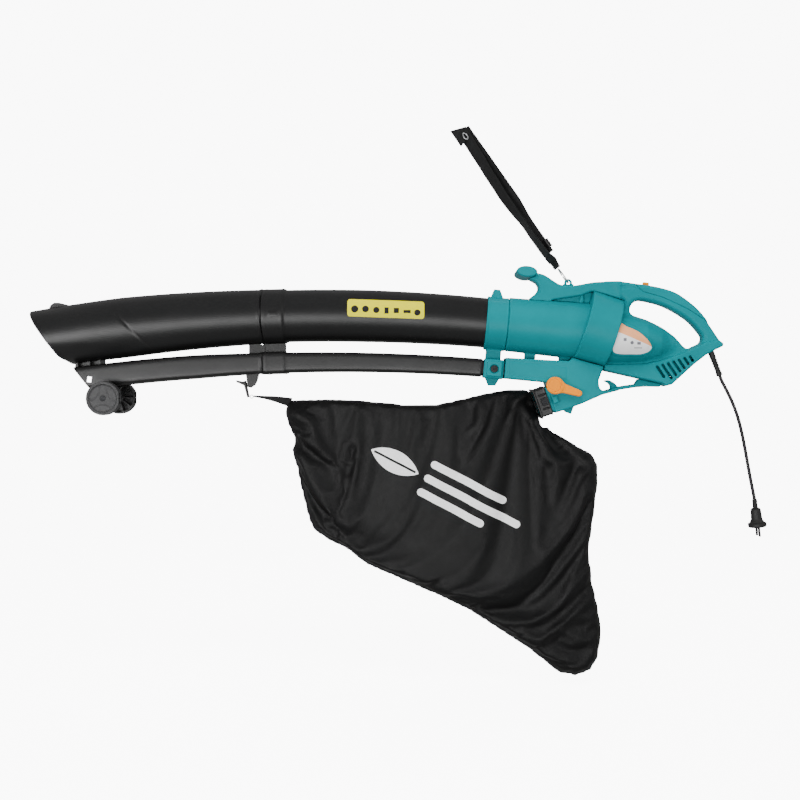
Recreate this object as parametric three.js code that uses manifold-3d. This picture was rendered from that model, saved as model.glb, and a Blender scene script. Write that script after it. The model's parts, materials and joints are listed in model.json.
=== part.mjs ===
// Electric garden blower and vacuum with a two-piece curved tube, a collecting bag and a shoulder strap.
// Millimetres, +Z up, +X towards the power cord, +Y away from the side that carries the mode lever.
// The origin is the middle of the rear hand grip, where the machine is held.

import * as THREE from "three";
import { mergeVertices } from "three/addons/utils/BufferGeometryUtils.js";
import Module from "manifold-3d";

const wasm = await Module();
wasm.setup();

// ---------------------------------------------------------------- driving dimensions

const GAP = 0.3; // between pieces that only touch
const RUNNING = 0.4; // between a turning piece and what holds it
const WALL = 3; // moulded wall

// The suction tube and the blow duct each follow one long arc, given by its highest point and its radius.
const TUBE_ARC = { apexX: -680, apexZ: -31.5, radius: 3450 };
const DUCT_ARC = { apexX: -670, apexZ: -124.6, radius: 3900 };
const TUBE_TIP_X = -1268; // upper lip of the nozzle
const DUCT_TIP_X = -1180.5;
const SPLIT_X = -805.5; // where the front and rear sections meet
const SOCKET_LENGTH = 42; // overlap of the two sections
const TUBE_END_X = -332; // rear end of the suction tube, inside the collar
const TUBE_R_REAR = 49.6;
const TUBE_R_MIDDLE = 52;
const TUBE_R_FRONT = 54;
const TUBE_R_NOZZLE = 60;
const TUBE_R_LIP = 58.5;
const TUBE_FLARE_X = -1080;
const SOCKET_R = 54.6;
const BEAD = { radius: 56, width: 7 };
const DUCT_WIDTH = 56;
const DUCT_H_REAR = 36;
const DUCT_H_MIDDLE = 41;
const DUCT_H_FRONT = 47;
const DUCT_CORNER = 9;
const STRAIGHT_SHARE = 0.55; // how much of the duct's side is straight

// Tube collar, between the black tubes and the machine.
const COLLAR = { x0: -365, x1: -323, radius: 52.6, tilt: 5.2, blockHeight: 38, blockWidth: 58 };

// Intake duct and fan drum.
const INTAKE = { x: -322, z: -49, tilt: 5.35, length: 168, r0: 53.5, r1: 57 };
const DRUM = { x: -171.5, z: -51, tilt: 17.2, length: 62, r0: 73, r1: 71 };

// Rear housing.
const HANDLE_HALF = 18; // half the thickness of the handle loop
const KEEL_HALF = 27; // half the thickness of the vented keel
const RIB_HALF = 9; // half the thickness of the rib that stands between the horn and the intake
const BULGE = { x: -112, z: -76, tilt: 7.5, sideways: 1.22 };
const SEAM = 0.3; // gap between the left and right shells
const VENTS = { count: 7, width: 4, x: -29, z: -132, stepX: 10.85, stepZ: 3.25, slope: 56 };
const VENT_LENGTHS = [29, 36, 32, 27, 23, 18, 14];

// Diverter case, its outlet for the bag and the mode selector.
const CASE_HALF = 34;
const OUTLET = { x: -240, z: -199, tilt: 199.4, height: 50, width: 62, length: 24 };
const SELECTOR = { x: -231, z: -171, hubR: 17, armLength: 49, armR: 6.5, thick: 12, rest: 18 };
const FLAP = { length: 40, thick: 3, rest: 58 };

// Motor, on the fan drum's axis.
const SHAFT_R = 4;
const IMPELLER = { radius: 64, hub: 16, depth: 26, blades: 8 };
const STATOR = { outer: 35, inner: 27, length: 36, at: 78 };
const ARMATURE_R = 20.5;

// Wheels.
const AXLE = { x: -1111, z: -196, radius: 3 };
const WHEEL = { radius: 33, width: 18, face: 57.5, bore: 4 };

// Cord.
const CORD_R = 3.5;
const CORD_EXIT = { x: 87.5, z: -109.5, tilt: 69.6 };
const RELIEF = { length: 45, r0: 6.2, r1: 5.4 };

// Strap.
const EYELET = { x: -200, z: 34, radius: 8, hole: 3.4, half: 3 };
const STRAP = { lean: 35, width: 25, thick: 1.8 };
const WIRE_R = 1.3;

// ---------------------------------------------------------------- materials

const plastic = (color, roughness) => new THREE.MeshStandardMaterial({ color, roughness, metalness: 0 });
const metal = (color, roughness) => new THREE.MeshStandardMaterial({ color, roughness, metalness: 1 });
const teal = plastic(0x0b98a2, 0.42);
const blackPlastic = plastic(0x242424, 0.5);
const wheelPlastic = plastic(0x3c3c3c, 0.6);
const orange = plastic(0xf79a35, 0.4);
const rubber = plastic(0x2b2b2b, 0.7);
const fabric = plastic(0x1d1d1d, 0.9);
const webbing = plastic(0x1c1c1c, 0.95);
const steel = metal(0xb9bcc0, 0.3);
const copper = metal(0xb8703a, 0.4);
const lamination = metal(0x6d7075, 0.6);
const yellowLabel = plastic(0xf4ee1a, 0.5);
const whiteLabel = plastic(0xf4f2ee, 0.5);
const innerPlastic = plastic(0x33363a, 0.6);

// ---------------------------------------------------------------- outlines that several pieces share

// The side of the diverter case: tube channel, throat, strut and the slanting outlet face.
const CASE = [
  [-327, -116], [-202, -126], [-195, -119.5], [-134, -136.5], [-144, -162], [-142, -175], [-135, -181],
  [-126, -181.5], [-100, -173], [-68, -168], [-62, -158], [-44, -161.8], [-18, -167.6], [-14, -170.5], [-20, -174], [-47, -173.5],
  [-68, -175], [-100, -180], [-136, -189], [-177, -207], [-210, -219], [-229, -225], [-245, -172],
  [-247, -165], [-330, -157],
];

// Screws along Y that close the shells: [x, z, half thickness of the housing there].
const SCREWS = [
  [-239, 19, HANDLE_HALF], [-116, 17, HANDLE_HALF], [71, -66, HANDLE_HALF], [52, -107, KEEL_HALF],
  [-11, -158, KEEL_HALF], [-105, -139, KEEL_HALF],
];

// The front grip is an oval bar across the top of the horn.
const FRONT_GRIP = { x: -285, z: 53, along: 20.5, up: 10.8, half: 40, tilt: 5 };

// ---------------------------------------------------------------- helpers

const rad = THREE.MathUtils.degToRad;

// A closed geometry as a manifold solid, turned the right way out.
function solid(geometry) {
  const g = geometry.index ? geometry.toNonIndexed() : geometry.clone();
  for (const name of Object.keys(g.attributes)) if (name !== "position") g.deleteAttribute(name);
  const merged = mergeVertices(g, 1e-3);
  const build = (turned) => {
    const triVerts = new Uint32Array(merged.index.array);
    if (turned)
      for (let i = 0; i < triVerts.length; i += 3) {
        [triVerts[i + 1], triVerts[i + 2]] = [triVerts[i + 2], triVerts[i + 1]];
      }
    const vertProperties = new Float32Array(merged.attributes.position.array);
    return new wasm.Manifold(new wasm.Mesh({ numProp: 3, vertProperties, triVerts }));
  };
  const made = build(false);
  return made.volume() < 0 ? build(true) : made;
}

const join = (...solids) => solids.reduce((a, b) => a.add(b));
const cut = (from, ...solids) => solids.reduce((a, b) => a.subtract(b), from);

// The manifold solid as a named three.js mesh.
function piece(name, made, material) {
  const m = made.getMesh();
  const position = new Float32Array(m.numVert * 3);
  for (let i = 0; i < m.numVert; i++)
    position.set(m.vertProperties.subarray(i * m.numProp, i * m.numProp + 3), i * 3);
  const g = new THREE.BufferGeometry();
  g.setAttribute("position", new THREE.BufferAttribute(position, 3));
  g.setIndex(new THREE.BufferAttribute(m.triVerts, 1));
  const mesh = new THREE.Mesh(g, material);
  mesh.name = name;
  return mesh;
}

// Puts a geometry made round the origin at (x, y, z), with its +X tilted down by tilt degrees.
function put(g, x, y, z, tilt = 0) {
  return g.rotateY(rad(tilt)).translate(x, y, z);
}

// A block centred on a point.
function block(x, y, z, dx, dy, dz, tilt = 0) {
  return solid(put(new THREE.BoxGeometry(dx, dy, dz), x, y, z, tilt));
}

// A round bar along Y.
function barY(x, z, radius, y0, y1, segments = 24) {
  const g = new THREE.CylinderGeometry(radius, radius, y1 - y0, segments);
  return solid(g.translate(x, (y0 + y1) / 2, z));
}

// A profile of [along, radius] pairs turned about an axis through at, tilted down by tilt degrees.
function turned(profile, at, segments = 36, sideways = 1) {
  const closed = profile[0][1] === 0 ? profile : [...profile, profile[0]];
  const g = new THREE.LatheGeometry(closed.map(([along, r]) => new THREE.Vector2(r, along)), segments);
  g.rotateZ(-Math.PI / 2).scale(1, sideways, 1);
  return solid(put(g, at.x, at.y ?? 0, at.z, at.tilt ?? 0));
}

// A tube of that wall, from along 0 to length, whose radius changes evenly.
function sleeve(at, length, r0, r1, wall, segments = 36) {
  const profile = [[0, r0], [length, r1], [length, r1 - wall], [0, r0 - wall]];
  return turned(profile, at, segments);
}

function disc(at, from, to, radius, segments = 36) {
  return turned([[from, 0], [from, radius], [to, radius], [to, 0]], at, segments);
}

// A point that lies along and up from a tilted frame, back in X and Z.
function fromFrame(at, along, up = 0) {
  const t = rad(at.tilt ?? 0);
  return {
    x: at.x + along * Math.cos(t) + up * Math.sin(t),
    z: at.z - along * Math.sin(t) + up * Math.cos(t),
  };
}

// A shape through [x, z] points, always drawn the same way round.
function outline(points) {
  const run = points.map(([x, z]) => new THREE.Vector2(x, z));
  return new THREE.Shape(THREE.ShapeUtils.isClockWise(run) ? run.reverse() : run);
}

// A smooth closed or open run through points, as more points.
function smooth(points, count, closed = false) {
  const curve = new THREE.SplineCurve(
    [...points, ...(closed ? [points[0]] : [])].map(([x, z]) => new THREE.Vector2(x, z)),
  );
  return curve.getPoints(count).map((p) => [p.x, p.y]).slice(0, closed ? -1 : undefined);
}

// An XZ outline made half thick each side of Y 0. Its edges are rounded by round, and inset shrinks it all over.
function plate(points, half, round = 0, inset = 0) {
  const ease = Math.max(round - Math.max(inset, 0), 0.01);
  const g = new THREE.ExtrudeGeometry(outline(points), {
    depth: 2 * (half - inset - ease),
    bevelEnabled: true,
    bevelThickness: ease,
    bevelSize: ease,
    bevelOffset: -ease - inset,
    bevelSegments: ease > 4 ? 3 : 1,
    curveSegments: 6,
  });
  return solid(g.rotateX(Math.PI / 2).translate(0, half - inset - ease, 0));
}

// A plain XZ outline between two Y values.
function slab(points, y0, y1) {
  const g = new THREE.ExtrudeGeometry(outline(points), { depth: y1 - y0, bevelEnabled: false });
  return solid(g.rotateX(Math.PI / 2).translate(0, y1, 0));
}

// The point of an arc at x, up from its line by up.
function onArc(arc, x, up = 0) {
  const t = Math.asin((x - arc.apexX) / arc.radius);
  return {
    x: arc.apexX + (arc.radius + up) * Math.sin(t),
    z: arc.apexZ - arc.radius + (arc.radius + up) * Math.cos(t),
  };
}

// Bends a geometry made straight along X so that its X axis follows the arc.
function bent(g, arc) {
  const p = g.attributes.position;
  for (let i = 0; i < p.count; i++) {
    const q = onArc(arc, p.getX(i), p.getZ(i));
    p.setXYZ(i, q.x, p.getY(i), q.z);
  }
  return g;
}

// A value that runs evenly between named stations [x, value].
function along(stations, x) {
  const i = stations.findIndex(([sx]) => sx <= x);
  if (i === 0) return stations[0][1];
  if (i < 0) return stations.at(-1)[1];
  const [x0, v0] = stations[i - 1];
  const [x1, v1] = stations[i];
  return THREE.MathUtils.lerp(v0, v1, (x - x0) / (x1 - x0));
}

// ---------------------------------------------------------------- suction tube, in two sections

const TUBE_STATIONS = [
  [TUBE_END_X, TUBE_R_REAR],
  [COLLAR.x0, TUBE_R_REAR],
  [-600, TUBE_R_MIDDLE],
  [SPLIT_X + SOCKET_LENGTH, TUBE_R_MIDDLE],
  [SPLIT_X, TUBE_R_FRONT],
  [TUBE_FLARE_X, TUBE_R_NOZZLE],
  [TUBE_TIP_X, TUBE_R_LIP],
];
const tubeRadius = (x) => along(TUBE_STATIONS, x);

// A solid bar of the tube's radius plus grow, between two X values, on the tube's arc.
function tubeBar(x0, x1, grow, steps = 7) {
  const profile = [[x0, 0]];
  for (let i = 0; i <= steps; i++) {
    const x = THREE.MathUtils.lerp(x0, x1, i / steps);
    profile.push([x, tubeRadius(x) + grow]);
  }
  profile.push([x1, 0]);
  const g = new THREE.LatheGeometry(profile.map(([x, r]) => new THREE.Vector2(r, x)), 28);
  return solid(bent(g.rotateZ(-Math.PI / 2), TUBE_ARC));
}

function plainBar(x0, x1, radius) {
  const g = new THREE.CylinderGeometry(radius, radius, x1 - x0, 28, 1);
  return solid(bent(g.rotateZ(-Math.PI / 2).translate((x0 + x1) / 2, 0, 0), TUBE_ARC));
}

function rearTube() {
  const socketInner = SOCKET_R - WALL;
  const outside = join(
    tubeBar(SPLIT_X + SOCKET_LENGTH, TUBE_END_X, 0),
    plainBar(SPLIT_X + 1, SPLIT_X + SOCKET_LENGTH + 3, SOCKET_R),
  );
  return cut(
    outside,
    tubeBar(SPLIT_X - 10, TUBE_END_X + 5, -WALL, 7),
    plainBar(SPLIT_X, SPLIT_X + SOCKET_LENGTH, socketInner),
  );
}

// The nozzle is cut off on a slanting curve, with its upper lip in front.
const MOUTH_CUT = [
  [TUBE_TIP_X - 30, 20], [TUBE_TIP_X - 1, -23], [TUBE_TIP_X + 3, -28], [TUBE_TIP_X + 13.5, -41.5],
  [TUBE_TIP_X + 36, -70], [TUBE_TIP_X + 54, -96], [TUBE_TIP_X + 65.5, -115], [TUBE_TIP_X + 78, -125],
  [TUBE_TIP_X + 83, -150], [TUBE_TIP_X - 30, -150],
];

function frontTube() {
  const spigotEnd = SPLIT_X + SOCKET_LENGTH - 1;
  const outside = join(
    tubeBar(TUBE_TIP_X - 5, SPLIT_X, 0, 8),
    plainBar(SPLIT_X - BEAD.width, SPLIT_X, BEAD.radius),
    plainBar(SPLIT_X - 1, spigotEnd, SOCKET_R - WALL - GAP),
    topRib(),
  );
  const inside = join(
    tubeBar(TUBE_TIP_X - 20, SPLIT_X - 2, -WALL, 8),
    plainBar(SPLIT_X - 3, spigotEnd + 2, SOCKET_R - 2 * WALL),
  );
  return cut(outside, inside, slab(MOUTH_CUT, -90, 90));
}

// A small wedge that stands on top of the nozzle.
function topRib() {
  const front = onArc(TUBE_ARC, TUBE_TIP_X + 40, TUBE_R_LIP - 2);
  const rear = onArc(TUBE_ARC, TUBE_TIP_X + 86, TUBE_R_LIP - 2);
  return slab(
    [[front.x, front.z - 1], [front.x + 5, front.z + 9], [front.x + 12, front.z + 14], [front.x + 22, front.z + 14],
      [rear.x, rear.z]],
    -7, 7,
  );
}

// ---------------------------------------------------------------- blow duct, in two sections

const DUCT_STATIONS = [
  [COLLAR.x0, DUCT_H_REAR],
  [SPLIT_X, DUCT_H_MIDDLE],
  [SPLIT_X - 140, DUCT_H_FRONT],
  [DUCT_TIP_X, DUCT_H_FRONT],
];

// A solid bar with the duct's rounded section, grown by grow all round, on the duct's arc.
function ductBar(x0, x1, grow, steps = 6, height = null) {
  const half = DUCT_WIDTH / 2 + grow;
  const corner = Math.max(2, DUCT_CORNER + grow);
  const shape = new THREE.Shape();
  // The section is drawn 2 high, and stretched to the duct's height afterwards.
  shape.moveTo(-half + corner, -1);
  shape.lineTo(half - corner, -1);
  shape.quadraticCurveTo(half, -1, half, -STRAIGHT_SHARE);
  shape.lineTo(half, STRAIGHT_SHARE);
  shape.quadraticCurveTo(half, 1, half - corner, 1);
  shape.lineTo(-half + corner, 1);
  shape.quadraticCurveTo(-half, 1, -half, STRAIGHT_SHARE);
  shape.lineTo(-half, -STRAIGHT_SHARE);
  shape.quadraticCurveTo(-half, -1, -half + corner, -1);
  const g = new THREE.ExtrudeGeometry(shape, { depth: x1 - x0, steps, bevelEnabled: false, curveSegments: 3 });
  const p = g.attributes.position;
  for (let i = 0; i < p.count; i++) {
    const x = x0 + p.getZ(i);
    const tall = (height ?? along(DUCT_STATIONS, x)) / 2 + grow;
    p.setXYZ(i, x, p.getX(i), p.getY(i) * tall);
  }
  return solid(bent(g, DUCT_ARC));
}

function rearDuct() {
  const webX0 = SPLIT_X + 2.6;
  const webX1 = SPLIT_X + SOCKET_LENGTH - 1.5;
  const web = slab([[webX0, -110], [webX1, -110], [webX1, -80], [webX0, -80]], -13, 13);
  const outside = join(
    ductBar(SPLIT_X + SOCKET_LENGTH, COLLAR.x0 - 8, 0),
    ductBar(SPLIT_X + 1, SPLIT_X + SOCKET_LENGTH + 3, 1.6, 2, DUCT_H_MIDDLE),
    ductBar(COLLAR.x0 - 9, COLLAR.x1 - 6, -WALL, 1, DUCT_H_REAR),
    web,
  );
  return cut(
    outside,
    ductBar(SPLIT_X - 5, COLLAR.x0 - 12, -WALL, 6),
    ductBar(COLLAR.x0 - 24, COLLAR.x1 + 5, -2 * WALL + 0.5, 1),
    ductBar(SPLIT_X, SPLIT_X + SOCKET_LENGTH, 1.6 - WALL, 2, DUCT_H_MIDDLE),
    tubeBar(SPLIT_X - 5, SPLIT_X + SOCKET_LENGTH + 12, GAP, 2),
    plainBar(SPLIT_X, SPLIT_X + SOCKET_LENGTH + 4, SOCKET_R + GAP),
  );
}

function frontDuct() {
  const spigotEnd = SPLIT_X + SOCKET_LENGTH - 1;
  const webX0 = SPLIT_X - 30;
  const webX1 = SPLIT_X - 0.7;
  const overhang = SPLIT_X + 2.2; // over the rear section's socket
  const web = slab(
    [[webX0, -115], [webX1, -115], [webX1, -104.3], [overhang, -104.3], [overhang, -80], [webX0, -80]], -13, 13);
  const posts = [3, 27, 48].map((step) => block(DUCT_TIP_X + step, 0, -128, 7, 30, 34));
  const rib = slab(
    [[DUCT_TIP_X + 2, -142], [DUCT_TIP_X + 50, -142], [DUCT_TIP_X + 50, -112], [DUCT_TIP_X + 2, -112]], -3, 3);
  const outside = join(
    ductBar(DUCT_TIP_X, SPLIT_X, 0, 8),
    ductBar(SPLIT_X - BEAD.width, SPLIT_X, 2, 1, DUCT_H_MIDDLE),
    ductBar(SPLIT_X - 1, spigotEnd, 1.6 - WALL - GAP, 2, DUCT_H_MIDDLE),
    web,
    ...posts,
    rib,
    ...axleEars(),
    hookLug(),
  );
  return cut(
    outside,
    ductBar(DUCT_TIP_X - 5, SPLIT_X - 2, -WALL, 8),
    ductBar(SPLIT_X - 3, spigotEnd + 2, 1.6 - 2 * WALL, 2, DUCT_H_MIDDLE),
    tubeBar(TUBE_TIP_X, SPLIT_X, GAP, 9),
    plainBar(SPLIT_X - BEAD.width - GAP, SPLIT_X + 2, BEAD.radius + GAP),
    slab(
      [[DUCT_TIP_X - 10, -100], [DUCT_TIP_X, -139], [DUCT_TIP_X + 28, -178], [DUCT_TIP_X + 28, -200],
        [DUCT_TIP_X - 10, -200]],
      -60, 60,
    ),
    block(DUCT_TIP_X + 33, 0, -159, 9, 80, 11, 8),
    block(DUCT_TIP_X + 20, 40, -159, 44, 40, 11, 8),
    barY(AXLE.x, AXLE.z, AXLE.radius + GAP, -60, 60, 16),
    slab(hookWindow(), -4, 4),
  );
}

// Two ears under the duct carry the axle.
function axleEars() {
  return [-22, 22].map((y) => slab(
    [[AXLE.x - 22, AXLE.z + 22], [AXLE.x - 8, AXLE.z - 6], [AXLE.x + 8, AXLE.z - 6], [AXLE.x + 26, AXLE.z + 22]],
    y - 3, y + 3,
  ));
}

// The lug that the bag's front hook catches in, and the window through it.
const HOOK = { x: -838, z: -166, tilt: OUTLET.tilt - 180 };

function hookLug() {
  return slab(
    [[HOOK.x - 5, -146], [HOOK.x + 20, -146], [HOOK.x + 13, -170], [HOOK.x + 4, -176], [HOOK.x - 1, -174]],
    -8, 8,
  );
}

// The window runs along the way that the bag is pulled off, so that the hook's finger slides out of it.
function hookWindow() {
  const at = { x: HOOK.x, z: HOOK.z, tilt: -HOOK.tilt };
  return [[-14, -2.6], [9, -2.6], [9, 2.6], [-14, 2.6]].map(([a, up]) => {
    const p = fromFrame(at, a, up);
    return [p.x, p.z];
  });
}

// ---------------------------------------------------------------- tube collar

function tubeCollar() {
  const c = onArc(TUBE_ARC, COLLAR.x0);
  const at = { ...c, tilt: COLLAR.tilt };
  const length = COLLAR.x1 - COLLAR.x0;
  const ring = disc(at, 0, length, COLLAR.radius, 32);
  const tongue = disc(INTAKE, -12, 9, INTAKE.r0 - WALL - GAP, 32);
  const duct = onArc(DUCT_ARC, (COLLAR.x0 + COLLAR.x1) / 2);
  const low = block(duct.x - 6, 0, duct.z, length - 2, COLLAR.blockWidth, COLLAR.blockHeight, COLLAR.tilt);
  const bossHalf = COLLAR.blockWidth / 2 + 3;
  const boss = block(duct.x - 5, 0, duct.z, 30, 2 * bossHalf, 30, COLLAR.tilt);
  const web = block(duct.x - 6, 0, duct.z + 27, 30, 24, 32, COLLAR.tilt);
  const top = fromFrame(at, 0, COLLAR.radius);
  const topTab = slab(
    [[top.x + 4, top.z - 3], [top.x + 12, top.z + 14], [top.x + 24, top.z + 13], [top.x + 31, top.z - 4]], -12, 12,
  );
  const bottomZ = duct.z - COLLAR.blockHeight / 2;
  const bottomTab = slab(
    [[duct.x - 24, bottomZ + 5], [duct.x + 9, bottomZ + 3], [duct.x - 2, bottomZ - 14], [duct.x - 16, bottomZ - 14]],
    -12, 12,
  );
  const bores = [
    tubeBar(COLLAR.x0 - 12, TUBE_END_X + 1, GAP + 0.2, 3),
    disc(INTAKE, -60, 15, INTAKE.r0 - 2 * WALL - GAP, 32),
    ductBar(COLLAR.x0 - 8, COLLAR.x1 - 5, -WALL + GAP, 1, DUCT_H_REAR),
    ductBar(COLLAR.x0 - 8, COLLAR.x1 + 8, -2 * WALL, 1, DUCT_H_REAR),
  ];
  const recesses = [-1, 1].map((s) => barY(duct.x - 5, duct.z, 8.6, s > 0 ? bossHalf - 4 : -bossHalf - 1,
    s > 0 ? bossHalf + 1 : -bossHalf + 4, 20));
  return cut(join(ring, tongue, low, boss, web, topTab, bottomTab), ...bores, ...recesses);
}

// A screw in each side of the collar's lower block.
function collarScrew(side) {
  const duct = onArc(DUCT_ARC, (COLLAR.x0 + COLLAR.x1) / 2);
  const floor = COLLAR.blockWidth / 2 + 3 - 4;
  const [y0, y1] = side > 0 ? [floor + GAP, floor + 3] : [-floor - 3, -floor - GAP];
  const head = barY(duct.x - 5, duct.z, 7, y0, y1, 20);
  const slot = block(duct.x - 5, side * (floor + 3), duct.z, 9, 3, 1.6, 30);
  return cut(head, slot);
}

// ---------------------------------------------------------------- intake duct and fan drum

const drumFrame = (grow) => [[-grow, 0], [-grow, DRUM.r0 + grow], [DRUM.length + grow, DRUM.r1 + grow],
  [DRUM.length + grow, 0]];

function intakeDuct() {
  const body = sleeve(INTAKE, INTAKE.length, INTAKE.r0, INTAKE.r1, WALL, 32);
  const posts = [[51, 21, 16], [120, 21, 14]].map(([step, dx, dz]) => {
    const p = fromFrame(INTAKE, step, -INTAKE.r0 - 6);
    return block(p.x, 0, p.z, dx, 22, dz, INTAKE.tilt);
  });
  const bore = disc(INTAKE, -5, INTAKE.length + 5, INTAKE.r0 - WALL, 32);
  const insideDrum = turned([[8, 0], [8, DRUM.r0 + 4], [DRUM.length, DRUM.r1], [DRUM.length, 0]], DRUM, 36);
  return cut(join(body, ...posts), bore, caseOutside(GAP), insideDrum);
}

// The room that the intake takes out of the housing, a gap larger all round.
function aroundIntake() {
  const before = -5;
  const after = INTAKE.length + 10;
  const grows = (INTAKE.r1 - INTAKE.r0) / INTAKE.length;
  return turned(
    [[before, 0], [before, INTAKE.r0 + GAP + before * grows], [after, INTAKE.r0 + GAP + after * grows], [after, 0]],
    INTAKE, 32,
  );
}

function fanDrum() {
  const outer = turned(drumFrame(0), DRUM, 36);
  const inner = turned(
    [[WALL, 0], [WALL, DRUM.r0 - WALL], [DRUM.length - WALL, DRUM.r1 - WALL], [DRUM.length - WALL, 0]], DRUM, 36);
  const rearHole = disc(DRUM, DRUM.length - WALL - 1, DRUM.length + 1, 40, 36);
  const frontHole = disc(INTAKE, 100, INTAKE.length + 20, INTAKE.r1 + GAP, 32);
  // The fan throws its air down, through an opening in the drum's rim, into the diverter case.
  const p = fromFrame(DRUM, DRUM.length / 2 - 2, -DRUM.r0);
  const outlet = block(p.x, 0, p.z, 44, 50, 30, DRUM.tilt);
  return cut(outer, inner, rearHole, frontHole, outlet);
}

// ---------------------------------------------------------------- rear housing: handle loop, horn, motor bulge and keel

const HANDLE_TOP = [
  [-264, 53], [-248, 48.2], [-232, 37.8], [-219, 30], [-205, 27.5], [-191, 27.4], [-177.5, 29.4], [-152.7, 33.8],
  [-127, 35.3], [-97, 35.7], [-67.3, 31.8], [-25.6, 25.4], [8.2, 15.7], [32, 1.4], [55.8, -18.3], [73.7, -39.1],
];
const TAIL = [
  [77.4, -48], [104, -87.5], [103, -93.3], [84.3, -102.2], [70.4, -110], [44.8, -130], [18, -154.6], [2.3, -169],
  [-10.5, -172.3],
];
const KEEL_BOTTOM = [[-17.5, -166.4], [-75.7, -153.6], [-133, -140.7]];
const HAND_GAP = [
  [-79, -22], [-75, -10], [-65, -3], [-52, -2.6], [-22, -9.6], [0, -18.6], [25, -33], [43, -47], [57, -63],
  [65, -75], [62, -86], [51, -92], [33, -97], [12, -76], [-11, -60], [-38, -47], [-65, -38], [-75, -33],
];
const KEEL = [
  [-131, -129], [-53, -128], [-17.5, -121], [11.2, -111], [36.9, -101.2], [68.5, -85.4], [96.1, -81.5], ...TAIL.slice(1),
  ...KEEL_BOTTOM,
];
// The horn and the ridge over the drum, which carry the front grip.
const HORN_UNDER = [
  [-97, 0], [-155, 15.5], [-177, 7], [-232, -1], [-240, -10], [-285, -10], [-277, 3.5], [-269, 9], [-263.5, 15], [-260.5, 21],
  [-261, 27], [-265, 33], [-272, 37], [-278, 40], [-278, 53],
];

// Both ends of the drum's rear rim.
function behindDrum(gap) {
  const bottom = fromFrame(DRUM, DRUM.length + gap, -DRUM.r1);
  const top = fromFrame(DRUM, DRUM.length + gap, DRUM.r1 + gap - 2);
  return [[bottom.x, bottom.z], [top.x, top.z]];
}

// The opening for the hand, with its edges eased where it meets the sides of the handle.
function handGap(grow) {
  const run = smooth(HAND_GAP, 26, true);
  const straight = plate(run, HANDLE_HALF + 10, 0, -grow);
  const eased = [-1, 1].map((side) => {
    const g = new THREE.ExtrudeGeometry(outline(run), {
      depth: 8, bevelEnabled: true, bevelThickness: 5, bevelSize: 5, bevelOffset: grow, bevelSegments: 1,
    });
    const start = HANDLE_HALF - grow;
    return solid(g.rotateX(side * -Math.PI / 2).scale(1, 1, side < 0 ? 1 : -1).translate(0, side * start, 0));
  });
  return join(straight, ...eased);
}

function framePlate(inset) {
  const tail = TAIL.filter(([x, z]) => !(z < -90 && x > 95) && x !== 70.4);
  const points = [...HANDLE_TOP.slice(8), ...tail, ...KEEL_BOTTOM.slice(0, 2), ...behindDrum(GAP)];
  return cut(plate(points, HANDLE_HALF, 7, inset), handGap(inset));
}

function horn(inset) {
  return plate([...HANDLE_TOP.slice(0, 10), ...HORN_UNDER], HANDLE_HALF, 2, inset);
}

function bulge(inset) {
  const profile = [[-20, 53], [0, 52], [26, 50], [60, 44], [92, 32], [118, 16], [130, 0]];
  const inner = profile.map(([a, r]) => (r ? [a, r - inset] : [a - inset, 0]));
  return turned([[-20, 0], ...inner], BULGE, 28, BULGE.sideways);
}

function keel(inset) {
  return plate(KEEL, KEEL_HALF, 4, inset);
}

// A wall inside the keel, behind the vents.
const BAFFLE = [[-60, -136], [-25, -130], [45, -109], [60, -106], [20, -147], [-14, -160], [-60, -152]];

// The whole hollow housing before it is split into shells and cover.
function housingShell() {
  const rib = slab([[-240, 4], [-154, 14], [-150, -12], [-240, -12]], -RIB_HALF, RIB_HALF);
  const outside = join(framePlate(0), horn(0), bulge(0), keel(0), rib);
  const inside = join(framePlate(WALL), horn(WALL), bulge(WALL), keel(WALL));
  const baffle = slab(BAFFLE, -2, 2);
  const open = disc(DRUM, DRUM.length - 30, DRUM.length + 14, 38, 28); // way through from the motor to the drum
  const shell = cut(outside, inside);
  const bosses = SCREWS.map(([x, z, half]) => barY(x, z, 5, -half + 1, half - 1, 14));
  const holes = SCREWS.map(([x, z, half]) => join(
    barY(x, z, 1.5 + GAP, -half + 6, half + 2, 12),
    barY(x, z, 3.6 + GAP, half - 5, half + 4, 14),
  ));
  return cut(
    join(shell, ...bosses, eyelet(), baffle),
    ...holes, ...vents(), ...sideSlots(), open,
    turned(drumFrame(GAP), DRUM, 36),
    aroundIntake(),
    caseOutside(GAP),
    frontGripBar(GAP),
    cordHole(),
    barY(EYELET.x, EYELET.z, EYELET.hole, -9, 9, 16),
  );
}

function eyelet() {
  return join(
    barY(EYELET.x, EYELET.z, EYELET.radius, -EYELET.half, EYELET.half, 20),
    block(EYELET.x, 0, EYELET.z - 6, 2 * EYELET.radius + 6, 2 * EYELET.half, 8),
  );
}

function vents() {
  return VENT_LENGTHS.slice(0, VENTS.count).map((length, i) => {
    const at = { x: VENTS.x + i * VENTS.stepX, z: VENTS.z + i * VENTS.stepZ, tilt: VENTS.slope };
    const middle = fromFrame(at, length / 2);
    return block(middle.x, 0, middle.z, length, 2 * KEEL_HALF + 6, VENTS.width, VENTS.slope);
  });
}

// A shallow rectangular recess in each side of the ridge.
function sideSlots() {
  return [-1, 1].map((side) => block(-83, side * HANDLE_HALF, 24, 29, 3, 8, 2));
}

function cordHole() {
  return disc({ ...CORD_EXIT }, -30, 20, RELIEF.r0 + GAP, 16);
}

// The grip cover lies over the top of the handle, across the seam of the shells.
function coverRegion(gap) {
  const lower = [[-70 - gap, 38], [-66 - gap, 27], [-53.5, 15.5 - gap], [-13.5, 4 - gap], [35, -18.5 - gap],
    [74.5 + gap, -44.5 - gap], [86 + gap, -47.5]];
  return slab([...lower, [110, 40]], -30, 30);
}

const shellWhole = housingShell();

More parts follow.
